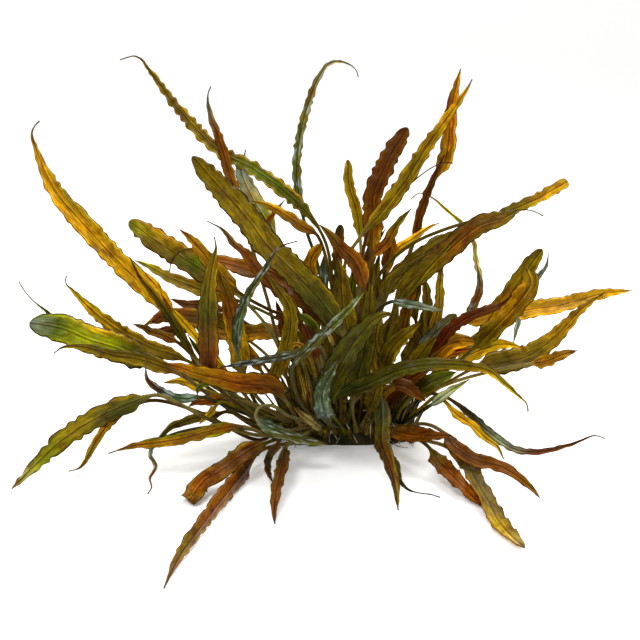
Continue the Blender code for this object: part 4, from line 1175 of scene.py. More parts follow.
LEAF_INPUTS = {
    "Points Around": ("NodeSocketInt", 26),
    "Blade Half Thickness": ("NodeSocketFloat", 0.28 * MM),
    "Rib Height": ("NodeSocketFloat", 0.42 * MM),
    "Rib Half Width": ("NodeSocketFloat", 0.85 * MM),
    "Fold": ("NodeSocketFloat", 0.17),
    "Wave Length": ("NodeSocketFloat", WAVE_LONG * MM),
    "Wave Sideways": ("NodeSocketFloat", 0.7),
    "Ragged": ("NodeSocketFloat", 0.7 * MM),
    "Seed": ("NodeSocketFloat", 0.0),
    "Skin": ("NodeSocketMaterial", None),
}


def tree_with(name, inputs):
    """An empty Geometry Nodes tree with a geometry in and out and the named inputs."""
    tree = bpy.data.node_groups.new(name, "GeometryNodeTree")
    tree.interface.new_socket("Geometry", in_out="INPUT", socket_type="NodeSocketGeometry")
    tree.interface.new_socket("Geometry", in_out="OUTPUT", socket_type="NodeSocketGeometry")
    for label, (kind, value) in inputs.items():
        socket = tree.interface.new_socket(label, in_out="INPUT", socket_type=kind)
        if value is not None:
            socket.default_value = value
    return tree


def end_tree(tree, geometry, skin):
    """Real geometry with its material, to the tree's output."""
    real = add_node(tree, "GeometryNodeRealizeInstances", {"Geometry": geometry})
    dressed = add_node(tree, "GeometryNodeSetMaterial",
                       {"Geometry": real.outputs[0], "Material": skin})
    add_node(tree, "NodeGroupOutput", {"Geometry": dressed.outputs[0]})


def noise_along(tree, along, pace, start, detail=1.0):
    """Noise from 0 to 1 along a leaf, which sets off from start."""
    where = plus(tree, times(tree, along, pace), start)
    return add_node(tree, "ShaderNodeTexNoise", {"W": where, "Scale": 1.0, "Detail": detail},
                    noise_dimensions="1D").outputs[0]


def stored(tree, geometry, name, value, data_type):
    """The geometry with the value stored on its points under a name."""
    return add_node(tree, "GeometryNodeStoreNamedAttribute",
                    {"Geometry": geometry, "Name": name, "Value": value},
                    data_type=data_type).outputs[0]


def leaf_tree():
    tree = tree_with("Leaf along a midrib", LEAF_INPUTS)
    given = add_node(tree, "NodeGroupInput").outputs
    midrib = add_node(tree, "GeometryNodeMeshToCurve", {"Mesh": given["Geometry"]}).outputs[0]
    middle = add_node(tree, "GeometryNodeCaptureAttribute", {"Geometry": midrib})
    middle.capture_items.new("VECTOR", "Middle")
    tree.links.new(add_node(tree, "GeometryNodeInputPosition").outputs[0], middle.inputs[1])
    ring = add_node(tree, "GeometryNodeCurvePrimitiveCircle",
                    {"Resolution": given["Points Around"], "Radius": STALK_HALF * MM})
    order = add_node(tree, "GeometryNodeCaptureAttribute", {"Geometry": ring.outputs[0]})
    order.capture_items.new("FLOAT", "Order")
    tree.links.new(add_node(tree, "GeometryNodeInputIndex").outputs[0], order.inputs[1])
    swept = add_node(tree, "GeometryNodeCurveToMesh",
                     {"Curve": middle.outputs[0], "Profile Curve": order.outputs[0],
                      "Fill Caps": True})

    # Around the ring u runs from -1 at one edge over the upper face to 1, and back over the lower.
    lap = ratio(tree, order.outputs[1], ratio(tree, given["Points Around"], 2.0))
    even = minus(tree, 1.0, size_of(tree, minus(tree, lap, 1.0)))
    even = minus(tree, times(tree, even, 2.0), 1.0)
    cubed = calculate(tree, "POWER", size_of(tree, even), 3.0)
    cubed = times(tree, cubed, calculate(tree, "SIGN", even))
    u = plus(tree, times(tree, even, 1 - TOWARD_MIDDLE), times(tree, cubed, TOWARD_MIDDLE))
    outer = size_of(tree, u)
    upper = calculate(tree, "SIGN", minus(tree, 1.0001, lap))

    # The round section of the stalk.
    angle = times(tree, even, math.pi / 2)
    stalk = named(tree, "stalk")
    stalk_side = times(tree, stalk, calculate(tree, "SINE", angle))
    stalk_out = times(tree, stalk, calculate(tree, "COSINE", angle))

    # The flat section of the blade: thinner toward its edges, with the rib on its middle.
    half = named(tree, "half")
    blade_side = times(tree, half, u)
    from_rib = ratio(tree, blade_side, given["Rib Half Width"])
    rib = calculate(tree, "EXPONENT", times(tree, times(tree, from_rib, from_rib), -1.0))
    thin = minus(tree, 1.0, calculate(tree, "POWER", outer, EDGE_POWER), clamp=True)
    thin = calculate(tree, "SQRT", thin)
    narrow = plus(tree, ratio(tree, half, THICKENS_OVER * MM), LEAST_THICK, clamp=True)
    blade_out = times(tree, times(tree, given["Blade Half Thickness"], thin), narrow)
    rib_out = times(tree, times(tree, given["Rib Height"], rib), narrow)
    blade_out = plus(tree, blade_out, times(tree, rib_out, thin))

    # Waves of the two edges, each edge in its own time, and stronger the nearer the edge. An edge
    # swings sideways a quarter turn after it rises, so that the wave is seen from any side.
    along = named(tree, "along")
    side = calculate(tree, "SIGN", u)
    start = plus(tree, given["Seed"], times(tree, side, EDGES_APART))
    slow = noise_along(tree, along, SHIFT_PACE, start)
    height = noise_along(tree, along, HEIGHT_PACE, plus(tree, start, 90.0))
    turns = times(tree, ratio(tree, along, given["Wave Length"]), math.tau)
    turns = plus(tree, turns, times(tree, slow, SHIFT))
    turns = plus(tree, turns, start)
    reach = times(tree, calculate(tree, "POWER", outer, 2.0), named(tree, "wave"))
    reach = times(tree, reach, calculate(tree, "MULTIPLY_ADD", height, HEIGHT_GAIN, HEIGHT_START))
    rise = times(tree, reach, calculate(tree, "SINE", turns))
    swing = times(tree, calculate(tree, "COSINE", turns), given["Wave Sideways"])
    swing = times(tree, times(tree, reach, swing), side)

    # Ragged edges, and the two halves folded up along the rib.
    flat = named(tree, "flat")
    ragged = noise_along(tree, along, RAGGED_PACE, plus(tree, start, 40.0), detail=2.0)
    ragged = times(tree, minus(tree, ragged, 0.5), given["Ragged"])
    ragged = times(tree, times(tree, ragged, narrow), flat)
    swing = plus(tree, swing, times(tree, times(tree, ragged, outer), side))
    fold = times(tree, times(tree, minus(tree, outer, 0.5), given["Fold"]), half)
    lift = times(tree, plus(tree, rise, fold), flat)

    # Stalk and blade meet by how far the stalk has flattened.
    sideways = plus(tree, blended(tree, flat, stalk_side, blade_side), swing)
    outward = times(tree, blended(tree, flat, stalk_out, blade_out), upper)
    outward = plus(tree, outward, lift)
    offset = added(tree, scaled(tree, named(tree, "across", "FLOAT_VECTOR"), sideways),
                   scaled(tree, named(tree, "face", "FLOAT_VECTOR"), outward))
    position = added(tree, middle.outputs[1], offset)
    placed = add_node(tree, "GeometryNodeSetPosition",
                      {"Geometry": swept.outputs[0], "Position": position})

    # What the finish reads: u across the blade, and a place on the skin in millimetres.
    spot = add_node(tree, "ShaderNodeCombineXYZ",
                    {0: ratio(tree, sideways, MM), 1: ratio(tree, along, MM),
                     2: given["Seed"]}).outputs[0]
    marked = stored(tree, placed.outputs[0], "u", u, "FLOAT")
    marked = stored(tree, marked, "skin", spot, "FLOAT_VECTOR")
    smooth = add_node(tree, "GeometryNodeSetShadeSmooth", {"Geometry": marked})
    end_tree(tree, smooth.outputs[0], given["Skin"])
    return tree


LEAF_TREE = leaf_tree()
print("leaf tree:", len(LEAF_TREE.nodes), "nodes,", len(LEAF_INPUTS), "inputs")

# %% [markdown]
# ## Leaf skin
#
# The blade of this plant is thin enough for light to shine through. Its middle is darker than its
# rim, which is partly its own colour and partly painted light shining through the thin edge. It has
# rusty blotches, wide soft patches of painted shade, painted light on one side and painted shade on
# the other, fine veins that run with the leaf, a thin dark rib with a painted highlight beside it,
# and a brown line at the very edge with a painted highlight inside it, and grey green blades have a
# painted sheen. An image could be wrapped on the leaves, but the pattern would smear where they
# bend. Here it is painted by nodes that read each point's own place on the skin, so it follows
# every curve.

# %% Leaf skin
SKINS = {
    # rusty blotches, painted sheen, light through, roughness
    "amber": (0.75, 0.02, 0.42, 0.32),
    "orange": (0.75, 0.02, 0.38, 0.34),
    "olive": (0.80, 0.03, 0.30, 0.32),
    "green": (0.65, 0.05, 0.34, 0.32),
    "teal": (0.50, 0.55, 0.22, 0.34),
    "russet": (0.70, 0.03, 0.30, 0.34),
    "yellow": (0.45, 0.02, 0.45, 0.34),
}

# Colours that the leaf's own colour is multiplied by. Only the painted sheen colour is laid over it
# instead, and WARM and COOL tint the gloss. LIT and SHADE are painted light and painted shade, and
# the rib and edge highlights are painted highlights.
BLOTCH = (0.58, 0.42, 0.26, 1)
SHADE = (0.50, 0.50, 0.45, 1)
FLECK = (1.55, 1.50, 1.10, 1)
LIT = (1.50, 1.46, 1.20, 1)
SHEEN_COLOUR = (0.36, 0.44, 0.41, 1)
VEIN = (0.42, 0.38, 0.32, 1)
RIB = (0.36, 0.26, 0.20, 1)
RIB_HIGHLIGHT = (1.9, 1.85, 1.7, 1)
EDGE = (0.26, 0.17, 0.12, 1)
EDGE_HIGHLIGHT = (1.25, 1.3, 1.1, 1)
GLOW = (1.40, 1.36, 0.45, 1)
WARM = (1.0, 0.86, 0.35, 1)
COOL = (0.85, 1.0, 0.92, 1)
VEINS_ACROSS = 4.0

# Where each line begins and where it is full: the rib and the painted highlight beside it in
# millimetres from the middle, the edge and the painted highlight inside it as shares of the half
# width, and the veins by their cosine.
RIB_LINE = (0.6, 0.25)
RIB_HIGHLIGHT_AT = 0.9
RIB_HIGHLIGHT_LINE = (0.5, 0.1)
EDGE_HIGHLIGHT_AT = 0.93
EDGE_HIGHLIGHT_LINE = (0.07, 0.02)
EDGE_LINE = (0.98, 1.04)
VEIN_LINE = (0.70, 1.0)


def stepped(tree, value, low, high, start=0.0, end=1.0):
    """The value carried smoothly from start to end between low and high."""
    return add_node(tree, "ShaderNodeMapRange", {0: value, 1: low, 2: high, 3: start, 4: end},
                    interpolation_type="SMOOTHSTEP").outputs[0]


def stretched(tree, place_on, share):
    """The place on the skin with this share of its way along the leaf, which draws patterns out."""
    return add_node(tree, "ShaderNodeVectorMath", {0: place_on, 1: (1.0, share, 1.0)},
                    operation="MULTIPLY").outputs[0]


def clouds(tree, place_on, scale, detail):
    return add_node(tree, "ShaderNodeTexNoise",
                    {"Vector": place_on, "Scale": scale, "Detail": detail}).outputs[0]


def patches(tree, place_on, scale, detail, low, high, strength=1.0):
    """Soft patches of noise, 0 outside and as strong as given inside."""
    return stepped(tree, clouds(tree, place_on, scale, detail), low, high, 0.0, strength)


def tinted(tree, share, colour, over, how="MIX"):
    """The colour with another laid over it by share."""
    return add_node(tree, "ShaderNodeMix", {0: share, 6: colour, 7: over}, data_type="RGBA",
                    blend_type=how).outputs[2]


def toned(tree, share, colour, over):
    """The colour multiplied by another one, by share."""
    return tinted(tree, share, colour, over, "MULTIPLY")


def bumped(tree, height, strength, distance):
    """A normal that follows a height, which stands out by distance in millimetres where it is 1."""
    return add_node(tree, "ShaderNodeBump",
                    {"Height": height, "Strength": strength, "Distance": distance * MM}).outputs[0]


def read(tree, name, output):
    return add_node(tree, "ShaderNodeAttribute", attribute_name=name).outputs[output]


def leaf_skin(name):
    blotchy, sheen_strength, through, roughness = SKINS[name]
    material = bpy.data.materials.new(name + " leaf")
    material.use_nodes = True
    tree = material.node_tree
    tree.nodes.clear()
    signed = read(tree, "u", "Fac")
    u = size_of(tree, signed)
    on_skin = read(tree, "skin", "Vector")
    flat = read(tree, "flat", "Fac")
    side = split(tree, on_skin)[0]
    from_rib = size_of(tree, side)
    drawn_out = stretched(tree, on_skin, 0.4)

    # Middle and rim, whose border wanders and lies nearer the rib on one side. The lighter rim is
    # partly painted light shining through the thin edge.
    wander = calculate(tree, "MULTIPLY_ADD", clouds(tree, drawn_out, 0.16, 3.0), 0.9, -0.45)
    border = plus(tree, calculate(tree, "MULTIPLY_ADD", signed, 0.12, u), wander)
    middle, rim = read(tree, "tone", "Color"), read(tree, "rim", "Color")
    colour = tinted(tree, stepped(tree, border, 0.55, 1.0), middle, rim)

    # Painted light and painted shade: one side of the blade is lighter and the other darker, as if
    # light fell on one half only.
    lean = times(tree, read(tree, "lean", "Fac"), signed)
    colour = toned(tree, times(tree, stepped(tree, lean, 0.0, 0.6), 0.8), colour, LIT)
    colour = toned(tree, times(tree, stepped(tree, lean, 0.0, -0.6), 0.6), colour, SHADE)

    # Wide soft patches of painted shade, rusty blotches large and small, and flecks. Each has the
    # scale and the detail of its noise, where it begins and is full, how strong it is, and its
    # colour.
    for scale, detail, low, high, strength, over in (
        (0.09, 2.0, 0.50, 0.64, 0.5, SHADE),
        (0.22, 3.0, 0.50, 0.62, blotchy, BLOTCH),
        (0.6, 3.0, 0.55, 0.63, blotchy * 0.7, BLOTCH),
        (0.4, 4.0, 0.53, 0.66, 0.7, FLECK),
    ):
        there = patches(tree, drawn_out, scale, detail, low, high, strength)
        colour = toned(tree, there, colour, over)

    # Dark and light streaks run along the leaf.
    streak = clouds(tree, stretched(tree, on_skin, 0.12), 0.8, 3.0)
    for low, high, over in ((0.54, 0.66, BLOTCH), (0.46, 0.34, FLECK)):
        there = times(tree, stepped(tree, streak, low, high, 0.0, 0.75), flat)
        colour = toned(tree, there, colour, over)

    # Fine veins run with the leaf and draw together toward its ends.
    wavering = clouds(tree, on_skin, 0.25, 1.0)
    turn = calculate(tree, "MULTIPLY_ADD", u, math.tau * VEINS_ACROSS, wavering)
    vein = times(tree, stepped(tree, calculate(tree, "COSINE", turn), *VEIN_LINE), flat)
    colour = toned(tree, times(tree, vein, 0.5), colour, VEIN)

    # A painted sheen, the pale grey-green of light reflected off a glossy blade, lies in streaks
    # along the leaf.
    painted_sheen = patches(tree, stretched(tree, on_skin, 0.28), 0.55, 4.0, 0.50, 0.68, sheen_strength)
    colour = tinted(tree, times(tree, painted_sheen, flat), colour, SHEEN_COLOUR)

    # The rib is a thin dark line with a painted highlight beside it, where a glossy ridge would
    # catch the light.
    rib = times(tree, stepped(tree, from_rib, *RIB_LINE), flat)
    colour = toned(tree, times(tree, rib, 0.85), colour, RIB)
    rib_highlight = stepped(tree, size_of(tree, minus(tree, side, RIB_HIGHLIGHT_AT)), *RIB_HIGHLIGHT_LINE)
    colour = toned(tree, times(tree, rib_highlight, times(tree, flat, 0.6)), colour, RIB_HIGHLIGHT)

    # The edge is a thin brown line with a painted highlight inside it, both uneven.
    uneven = calculate(tree, "MULTIPLY_ADD", clouds(tree, on_skin, 0.35, 3.0), 0.24, u)
    edge_highlight = stepped(tree, size_of(tree, minus(tree, uneven, EDGE_HIGHLIGHT_AT)), *EDGE_HIGHLIGHT_LINE)
    colour = toned(tree, times(tree, edge_highlight, times(tree, flat, 0.6)), colour, EDGE_HIGHLIGHT)
    edge = times(tree, stepped(tree, uneven, *EDGE_LINE), flat)
    colour = toned(tree, times(tree, edge, 0.9), colour, EDGE)

    # Veins stand out a little and the skin is finely crinkled.
    crinkle = clouds(tree, on_skin, 0.9, 3.0)
    normal = bumped(tree, calculate(tree, "MULTIPLY_ADD", vein, 0.3, crinkle), 0.6, 0.35)
    shine = stepped(tree, crinkle, 0.3, 0.7, roughness - 0.08, roughness + 0.12)
    skin = add_node(tree, "ShaderNodeBsdfPrincipled",
                    {"Base Color": colour, "Roughness": shine, "Normal": normal, "IOR": 1.42,
                     "Specular IOR Level": 0.2, "Specular Tint": COOL if name == "teal" else WARM})
    lit_through = toned(tree, 1.0, colour, GLOW)
    glow = add_node(tree, "ShaderNodeBsdfTranslucent", {"Color": lit_through, "Normal": normal})
    both = add_node(tree, "ShaderNodeMixShader",
                    {0: through, 1: skin.outputs[0], 2: glow.outputs[0]})
    add_node(tree, "ShaderNodeOutputMaterial", {0: both.outputs[0]})
    return material


SKIN = {name: leaf_skin(name) for name in SKINS}
print("leaf skins:", ", ".join(SKIN))

# %% [markdown]
# ## Growing the leaves
#
# Every chain gets the leaf tree as a modifier, and its result is kept as a plain mesh. The long
# leaves take the place of their solids. Normals are checked by the volume they enclose, which is
# negative if a leaf is inside out.

# %% Growing the leaves
ROOT = "root"


def grown(name, chain, tree, values):
    """The plain mesh that a Geometry Nodes tree makes from a mesh, as an object facing outward."""
    source = bpy.data.objects.new(name, chain)
    bpy.context.scene.collection.objects.link(source)
    modifier = source.modifiers.new("Grow", "NODES")
    modifier.node_group = tree
    set_inputs(modifier, values)
    depsgraph = bpy.context.evaluated_depsgraph_get()
    mesh = bpy.data.meshes.new_from_object(source.evaluated_get(depsgraph))
    source.modifiers.clear()
    source.data = mesh
    bpy.data.meshes.remove(chain)
    mesh.name = name
    for point in mesh.vertices:
        point.co.z = max(0.0, point.co.z)
    shape = bmesh.new()
    shape.from_mesh(mesh)
    if shape.calc_volume(signed=True) < 0:
        bmesh.ops.reverse_faces(shape, faces=shape.faces)
        shape.to_mesh(mesh)
    shape.free()
    return source


def keep_attributes(mesh, names):
    for attribute in [a.name for a in mesh.attributes if not a.is_required and not a.is_internal]:
        if attribute not in names:
            mesh.attributes.remove(mesh.attributes[attribute])


def grow_leaf(midribs, number):
    leaf = midribs.leaves[number]
    wave = WAVE_SHORT if leaf.name in SHORT else WAVE_AHEAD if leaf.name in AHEAD else WAVE_LONG
    values = {"Seed": 10.0 * number, "Wave Length": wave * MM, "Skin": SKIN[leaf.tone]}
    piece = grown("wavy_" + leaf.name, midrib_chain(midribs, number), LEAF_TREE, values)
    keep_attributes(piece.data, {"tone", "rim", "u", "skin", "flat", "lean", "sharp_face"})
    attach(piece, ROOT)
    return piece


triangles = 0
for number, leaf in enumerate(all_midribs.leaves):
    piece = grow_leaf(all_midribs, number)
    if number < len(LEAVES):
        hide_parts(leaf.name)
    triangles += sum(len(face.vertices) - 2 for face in piece.data.polygons)
print("leaves grown:", len(all_midribs.leaves), "with", triangles, "triangles")

# %% [markdown]
# ## The rootstock
#
# Below the leaves the plant has a thick creeping stem, dark and knobbly, with the rotted sheaths of
# old leaves on it. It is cut flat below. It is modelled as rings of points around the cut, pushed
# in and out by noise, and the sheaths are scattered over its top by Geometry Nodes.

# %% Rootstock body
# Points in a row, rows from the cut to the top, and how square the corners are.
PAD_SIDES = 144
PAD_ROWS = 26
PAD_CORNER = 2.5

# The lowest and the highest row as shares of the pad, the powers that shape the mound between, and
# how high it is.
LOWEST_ROW = 0.965
HIGHEST_ROW = 0.02
INWARD_POWER = 0.55
UPWARD_POWER = 1.3
CROWN_HIGH = 14.0

# Knobs: how high and how close, coarse and fine. They are sunk a little, and fade toward the cut.
KNOB_HIGH = 2.6
KNOB_PACE = 0.16
FINE_KNOB_HIGH = 0.9
FINE_KNOB_PACE = 0.55
KNOBS_SUNK = 0.8


def rootstock_mesh():
    """A low mound with a flat cut face: rings that shrink toward the middle of the top."""
    shape = bmesh.new()
    rows = []
    for row in range(PAD_ROWS):
        rise = row / (PAD_ROWS - 1)
        reach = LOWEST_ROW * math.cos(rise * math.pi / 2) ** INWARD_POWER
        reach = reach if row < PAD_ROWS - 1 else HIGHEST_ROW
        ring = []
        for i in range(PAD_SIDES):
            angle = math.tau * i / PAD_SIDES
            c, s = math.cos(angle), math.sin(angle)
            x = PAD_LONG * reach * math.copysign(abs(c) ** (2 / PAD_CORNER), c)
            y = PAD_DEEP * reach * math.copysign(abs(s) ** (2 / PAD_CORNER), s)
            z = CROWN_HIGH * math.sin(rise * math.pi / 2) ** UPWARD_POWER
            here = Vector((x, y, z))
            knob = KNOB_HIGH * noise.noise(here * KNOB_PACE)
            knob = knob + FINE_KNOB_HIGH * noise.noise(here * FINE_KNOB_PACE) - KNOBS_SUNK
            out = Vector((x / PAD_LONG, y / PAD_DEEP, 0.15 + rise)).normalized()
            here = here + out * knob * min(1.0, 0.35 + rise * 3)
            here.z = max(0.0, here.z) if row else 0.0
            ring.append(shape.verts.new(here * MM))
        rows.append(ring)
    for low, high in zip(rows, rows[1:]):
        for i in range(PAD_SIDES):
            j = (i + 1) % PAD_SIDES
            shape.faces.new((low[i], low[j], high[j], high[i]))
    shape.faces.new(rows[0][::-1])
    shape.faces.new(rows[-1])
    mesh = bpy.data.meshes.new("rootstock body")
    shape.to_mesh(mesh)
    shape.free()
    mesh.shade_smooth()
    return mesh


# %% Finish of the rootstock, its sheaths and its hair roots
def bark(name, low, high, scale, roughness):
    """A rough matt finish that goes from one colour to another in patches."""
    material = bpy.data.materials.new(name)
    material.use_nodes = True
    tree = material.node_tree
    shader = tree.nodes["Principled BSDF"]
    where = add_node(tree, "ShaderNodeTexCoord").outputs["Object"]
    cloud = clouds(tree, where, scale, 5.0)
    colour = tinted(tree, stepped(tree, cloud, 0.38, 0.66), (*low, 1), (*high, 1))
    fine = clouds(tree, where, scale * 4, 4.0)
    rough = stepped(tree, fine, 0.3, 0.7, roughness - 0.12, roughness + 0.1)
    tree.links.new(colour, shader.inputs["Base Color"])
    tree.links.new(rough, shader.inputs["Roughness"])
    tree.links.new(bumped(tree, fine, 0.8, 0.6), shader.inputs["Normal"])
    shader.inputs["Specular IOR Level"].default_value = 0.15
    return material


ROOTSTOCK_BARK = bark("rootstock bark", TONES["dark"] * 0.5, TONES["dark"] * 1.3, 160.0, 0.75)
OLD_SHEATH = bark("old sheath", TONES["dark"] * 0.6, TONES["olive"] * 0.8, 220.0, 0.6)
HAIR_ROOT = bark("hair root", TONES["dark"] * 1.6, linear(190, 178, 150), 260.0, 0.6)

rootstock = bpy.data.objects.new("knobbly_rootstock", rootstock_mesh())
bpy.context.scene.collection.objects.link(rootstock)
rootstock.data.materials.append(ROOTSTOCK_BARK)
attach(rootstock, ROOT)
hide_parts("rootstock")
print("rootstock:", len(rootstock.data.polygons), "faces")

# %% [markdown]
# ## Old sheaths
#
# Around the feet of the stalks stand the torn sheaths of leaves that have gone, a few centimetres
# high, dark and close together. One small tapered blade is made once, and a Geometry Nodes tree
# puts it on points of the crown, each turned outward, leaning and sized a little differently.

# %% Old sheaths
SHEATH_INPUTS = {
    "Sheath": ("NodeSocketObject", None),
    "Density": ("NodeSocketFloat", 30000.0),
    "Smallest": ("NodeSocketFloat", 0.5),
    "Largest": ("NodeSocketFloat", 1.25),
    "Lean": ("NodeSocketFloat", 0.42),
    "Seed": ("NodeSocketInt", 4),
    "Skin": ("NodeSocketMaterial", None),
}

# The rows of points of a sheath and its size, with half the width of its tip and how far it bows.
SHEATH_ROWS = 8
SHEATH_HIGH = 30.0
SHEATH_WIDE = 4.2
SHEATH_THICK = 0.8
SHEATH_TIP_HALF = 0.25
SHEATH_BOW = 4.5

# Sheaths stand where the crown faces up at least this much, and turn up to this far from outward.
CROWN_FACES_UP = 0.35
SHEATH_SPIN = 0.9
SHEATH_SIZE_SEED = 9


def sheath_mesh():
    """One torn sheath, a bent tapered blade with a hollow face, standing at the origin."""
    shape = bmesh.new()
    rows = []
    for row in range(SHEATH_ROWS):
        rise = row / (SHEATH_ROWS - 1)
        half = SHEATH_WIDE / 2 * (1 - rise ** 2.2) + SHEATH_TIP_HALF
        bow = SHEATH_BOW * rise ** 2
        section = [(-half, 0.7), (0.0, -0.45), (half, 0.7), (half * 0.6, 1.0 + SHEATH_THICK / 2),
                   (0.0, SHEATH_THICK - 0.3), (-half * 0.6, 1.0 + SHEATH_THICK / 2)]
        rows.append([
            shape.verts.new(Vector((x, bow + y * (1 - 0.5 * rise), SHEATH_HIGH * rise)) * MM)
            for x, y in section
        ])
    count = len(rows[0])
    for low, high in zip(rows, rows[1:]):
        for i in range(count):
            j = (i + 1) % count
            shape.faces.new((low[i], low[j], high[j], high[i]))
    shape.faces.new(rows[0][::-1])
    shape.faces.new(rows[-1])
    bmesh.ops.recalc_face_normals(shape, faces=shape.faces)
    mesh = bpy.data.meshes.new("sheath")
    shape.to_mesh(mesh)
    shape.free()
    mesh.shade_smooth()
    return mesh


def sheath_tree():
    tree = tree_with("Old sheaths on the crown", SHEATH_INPUTS)
    given = add_node(tree, "NodeGroupInput").outputs
    up = split(tree, add_node(tree, "GeometryNodeInputNormal").outputs[0])[2]
    faces_up = add_node(tree, "FunctionNodeCompare", {0: up, 1: CROWN_FACES_UP}, data_type="FLOAT",
                        operation="GREATER_THAN")
    points = add_node(tree, "GeometryNodeDistributePointsOnFaces",
                      {"Mesh": given["Geometry"], "Selection": faces_up.outputs[0],
                       "Density": given["Density"], "Seed": given["Seed"]})
    here = add_node(tree, "GeometryNodeInputPosition").outputs[0]
    x, y, _ = split(tree, here)
    outward = calculate(tree, "ARCTAN2", times(tree, y, PAD_LONG / PAD_DEEP), x)
    spin = add_node(tree, "FunctionNodeRandomValue",
                    {2: -SHEATH_SPIN, 3: SHEATH_SPIN, "Seed": given["Seed"]}, data_type="FLOAT")
    turn = plus(tree, minus(tree, outward, math.pi / 2), spin.outputs[1])
    away = add_node(tree, "ShaderNodeVectorMath", {0: here}, operation="LENGTH").outputs[1]
    lean = times(tree, times(tree, ratio(tree, away, PAD_LONG * MM), given["Lean"]), -1.0)
    angles = add_node(tree, "ShaderNodeCombineXYZ", {0: lean, 2: turn}).outputs[0]
    size = add_node(tree, "FunctionNodeRandomValue",
                    {2: given["Smallest"], 3: given["Largest"], "Seed": SHEATH_SIZE_SEED},
                    data_type="FLOAT").outputs[1]
    one = add_node(tree, "GeometryNodeObjectInfo", {"Object": given["Sheath"]}).outputs["Geometry"]
    made = add_node(tree, "GeometryNodeInstanceOnPoints",
                    {"Points": points.outputs[0], "Instance": one, "Rotation": angles,
                     "Scale": size})
    end_tree(tree, made.outputs[0], given["Skin"])
    return tree


one_sheath = bpy.data.objects.new("one sheath", sheath_mesh())
sheath_values = {"Sheath": one_sheath, "Skin": OLD_SHEATH}
sheaths = grown("old_sheaths", rootstock_mesh(), sheath_tree(), sheath_values)
bpy.data.objects.remove(one_sheath)
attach(sheaths, ROOT)
print("old sheaths:", len(sheaths.data.polygons), "faces")

# %% [markdown]
# ## Hair roots
#
# Pale threads, no thicker than a hair, hang out of the dark foot and lie on the ground. Each is a
# chain of points that sets off outward and then sinks. One tree sweeps a small ring along all of
# them. Hair curves could draw them too, but they would stay curves, and these have to be real
# geometry.

# %% Hair roots
THREADS = 44
THREAD_POINTS = 14
THREAD_STEP = 1.8

# Half the thickness at the start and what is lost of it toward the end.
THREAD_HALF = 0.42
THREAD_LOSS = 0.24

# Threads start this high, and in the middle of the crown up to the range higher. Each bends at
# random, sinks and lies on the ground at last. One in BACK_EVERY is at the back.
START_LOW = 6.0
START_RANGE = 22.0
THREAD_BEND = 0.45
THREAD_SINK = 0.12
THREAD_LIES = 0.5
BACK_EVERY = 5
GOLDEN_ANGLE = 2.399

# The vectors that bend them come from a generator that starts by the clock, unless it has a seed.
THREAD_SEED = 1

THREAD_INPUTS = {
    "Sides": ("NodeSocketInt", 5),
    "Skin": ("NodeSocketMaterial", None),
}


def varied(k, pace):
    """A number from 0 to 1 that differs from thread to thread."""
    return 0.5 + 0.5 * math.sin(k * pace)


def thread_chains():
    """Chains of edges that start at the edge of the crown, most in front, and sink outward."""
    noise.seed_set(THREAD_SEED)
    points, edges, thick = [], [], []
    for k in range(THREADS):
        across = 2 * noise.noise((k * 3.7, 1.5, 0.0))
        x = PAD_LONG * 0.85 * math.sin(k * GOLDEN_ANGLE)
        to_end = abs(x / PAD_LONG)
        front = -1.0 if k % BACK_EVERY else 1.0
        y = front * PAD_DEEP * 0.8 * (1 - to_end ** 2.5) ** 0.4
        here = np.array((x, y, START_LOW + START_RANGE * varied(k, 1.7) * (1 - to_end)))
        ahead = np.array((across + 0.5 * x / PAD_LONG,
                          front * (0.5 + 0.3 * math.sin(k * 5.3)),
                          0.6 * math.sin(k * 4.1)))
        long = 0.6 + 0.5 * varied(k, 3.3)
        for step in range(THREAD_POINTS):
            if step:
                edges.append((len(points) - 1, len(points)))
            points.append(tuple(here * MM))
            thick.append((THREAD_HALF - THREAD_LOSS * step / THREAD_POINTS) * MM)
            bend = noise.noise_vector((k * 2.1, step * 0.35, 4.0))
            ahead = ahead + THREAD_BEND * np.array(bend) + (0, 0, -THREAD_SINK)
            here = here + unit(ahead) * long * THREAD_STEP
            here[2] = max(here[2], THREAD_LIES)
    mesh = bpy.data.meshes.new("threads")
    mesh.from_pydata(points, edges, [])
    carry(mesh, "thick", thick)
    return mesh


def thread_tree():
    tree = tree_with("Threads", THREAD_INPUTS)
    given = add_node(tree, "NodeGroupInput").outputs
    curve = add_node(tree, "GeometryNodeMeshToCurve", {"Mesh": given["Geometry"]}).outputs[0]
    ring = add_node(tree, "GeometryNodeCurvePrimitiveCircle",
                    {"Resolution": given["Sides"], "Radius": 1.0})
    swept = add_node(tree, "GeometryNodeCurveToMesh",
                     {"Curve": curve, "Profile Curve": ring.outputs[0],
                      "Scale": named(tree, "thick"), "Fill Caps": True})
    end_tree(tree, swept.outputs[0], given["Skin"])
    return tree


hair_roots = grown("hair_roots", thread_chains(), thread_tree(), {"Skin": HAIR_ROOT})
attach(hair_roots, ROOT)
print("hair roots:", len(hair_roots.data.polygons), "faces")

# %% [markdown]
# ## Floor, backdrop, lights and camera
#
# A pale floor that rises softly behind the plant, a large soft light before it, and a second one
# high at the back so that light shines through the blades as it does under water.

# %% Floor and backdrop
# In metres: where the floor starts and begins to bend up, how round it bends, how high it goes, and
# half its width.
FLOOR_FRONT = -6.0
BEND_FROM = 1.6
BEND = 1.0
WALL_HIGH = 5.0
HALF_FLOOR = 7.0
PALE_GLOW = 0.12


def pale(name, colour):
    """A matt finish that glows a little, so that shadows on it stay soft."""
    material = bpy.data.materials.new(name)
    material.use_nodes = True
    shader = material.node_tree.nodes["Principled BSDF"]
    shader.inputs["Base Color"].default_value = (*colour, 1)
    shader.inputs["Roughness"].default_value = 0.9
    shader.inputs["Emission Color"].default_value = (1, 1, 1, 1)
    shader.inputs["Emission Strength"].default_value = PALE_GLOW
    return material


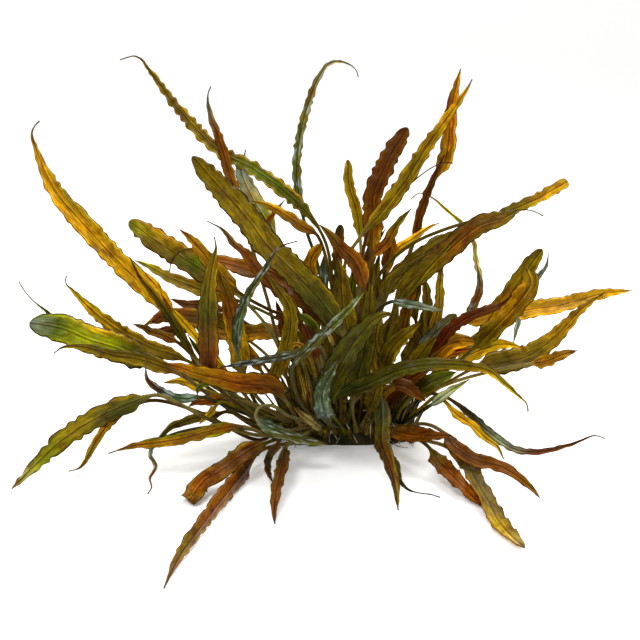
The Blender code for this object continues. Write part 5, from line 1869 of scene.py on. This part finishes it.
def backdrop_mesh():
    """A sheet that lies flat before and under the plant and curves up behind it."""
    rows = [(FLOOR_FRONT, 0.0), (BEND_FROM, 0.0)]
    turns = np.radians(np.arange(6, 91, 6))
    rows += [(BEND_FROM + BEND * math.sin(a), BEND * (1 - math.cos(a))) for a in turns]
    rows += [(BEND_FROM + BEND, WALL_HIGH)]
    points = [(x, y, z) for y, z in rows for x in (-HALF_FLOOR, HALF_FLOOR)]
    faces = [(2 * k, 2 * k + 1, 2 * k + 3, 2 * k + 2) for k in range(len(rows) - 1)]
    mesh = bpy.data.meshes.new("backdrop")
    mesh.from_pydata(points, [], faces)
    mesh.shade_smooth()
    return mesh


backdrop = bpy.data.objects.new("backdrop", backdrop_mesh())
bpy.context.scene.collection.objects.link(backdrop)
backdrop.data.materials.append(pale("pale backdrop", (0.93, 0.93, 0.92)))


# %% Lights
LIT_POINT = Vector((0, 0, 0.1))
WORLD_STRENGTH = 0.75


def soft_light(name, position, size, power, tint=(1.0, 1.0, 1.0)):
    """A round lamp that faces the plant. Position and size are metres and the power is watts."""
    lamp = bpy.data.lights.new(name, "AREA")
    lamp.shape = "DISK"
    lamp.size = size
    lamp.energy = power
    lamp.color = tint
    thing = bpy.data.objects.new(name, lamp)
    thing.location = position
    thing.rotation_euler = (LIT_POINT - Vector(position)).to_track_quat("-Z", "Y").to_euler()
    bpy.context.scene.collection.objects.link(thing)


soft_light("front light", (-0.5, -0.9, 1.4), 0.7, 14.0)
soft_light("back light", (0.35, 0.75, 1.3), 0.8, 21.5, (1.0, 0.98, 0.92))
soft_light("side light", (1.2, -0.6, 0.7), 0.6, 4.5)
world = bpy.data.worlds.new("studio")
world.use_nodes = True
background = world.node_tree.nodes["Background"]
background.inputs["Color"].default_value = (1.0, 1.0, 1.0, 1.0)
background.inputs["Strength"].default_value = WORLD_STRENGTH
bpy.context.scene.world = world
bpy.context.scene.view_settings.view_transform = "Standard"

# %% Camera
camera = bpy.data.objects.new("camera", bpy.data.cameras.new("camera"))
camera.data.lens = LENS
camera.data.sensor_width = SENSOR
camera.data.clip_start = 0.01
camera.location = EYE * MM
camera.rotation_euler = (math.radians(90 - LOOK_DOWN), 0, 0)
bpy.context.scene.collection.objects.link(camera)
bpy.context.scene.camera = camera
print("camera at", [round(v, 4) for v in camera.location])
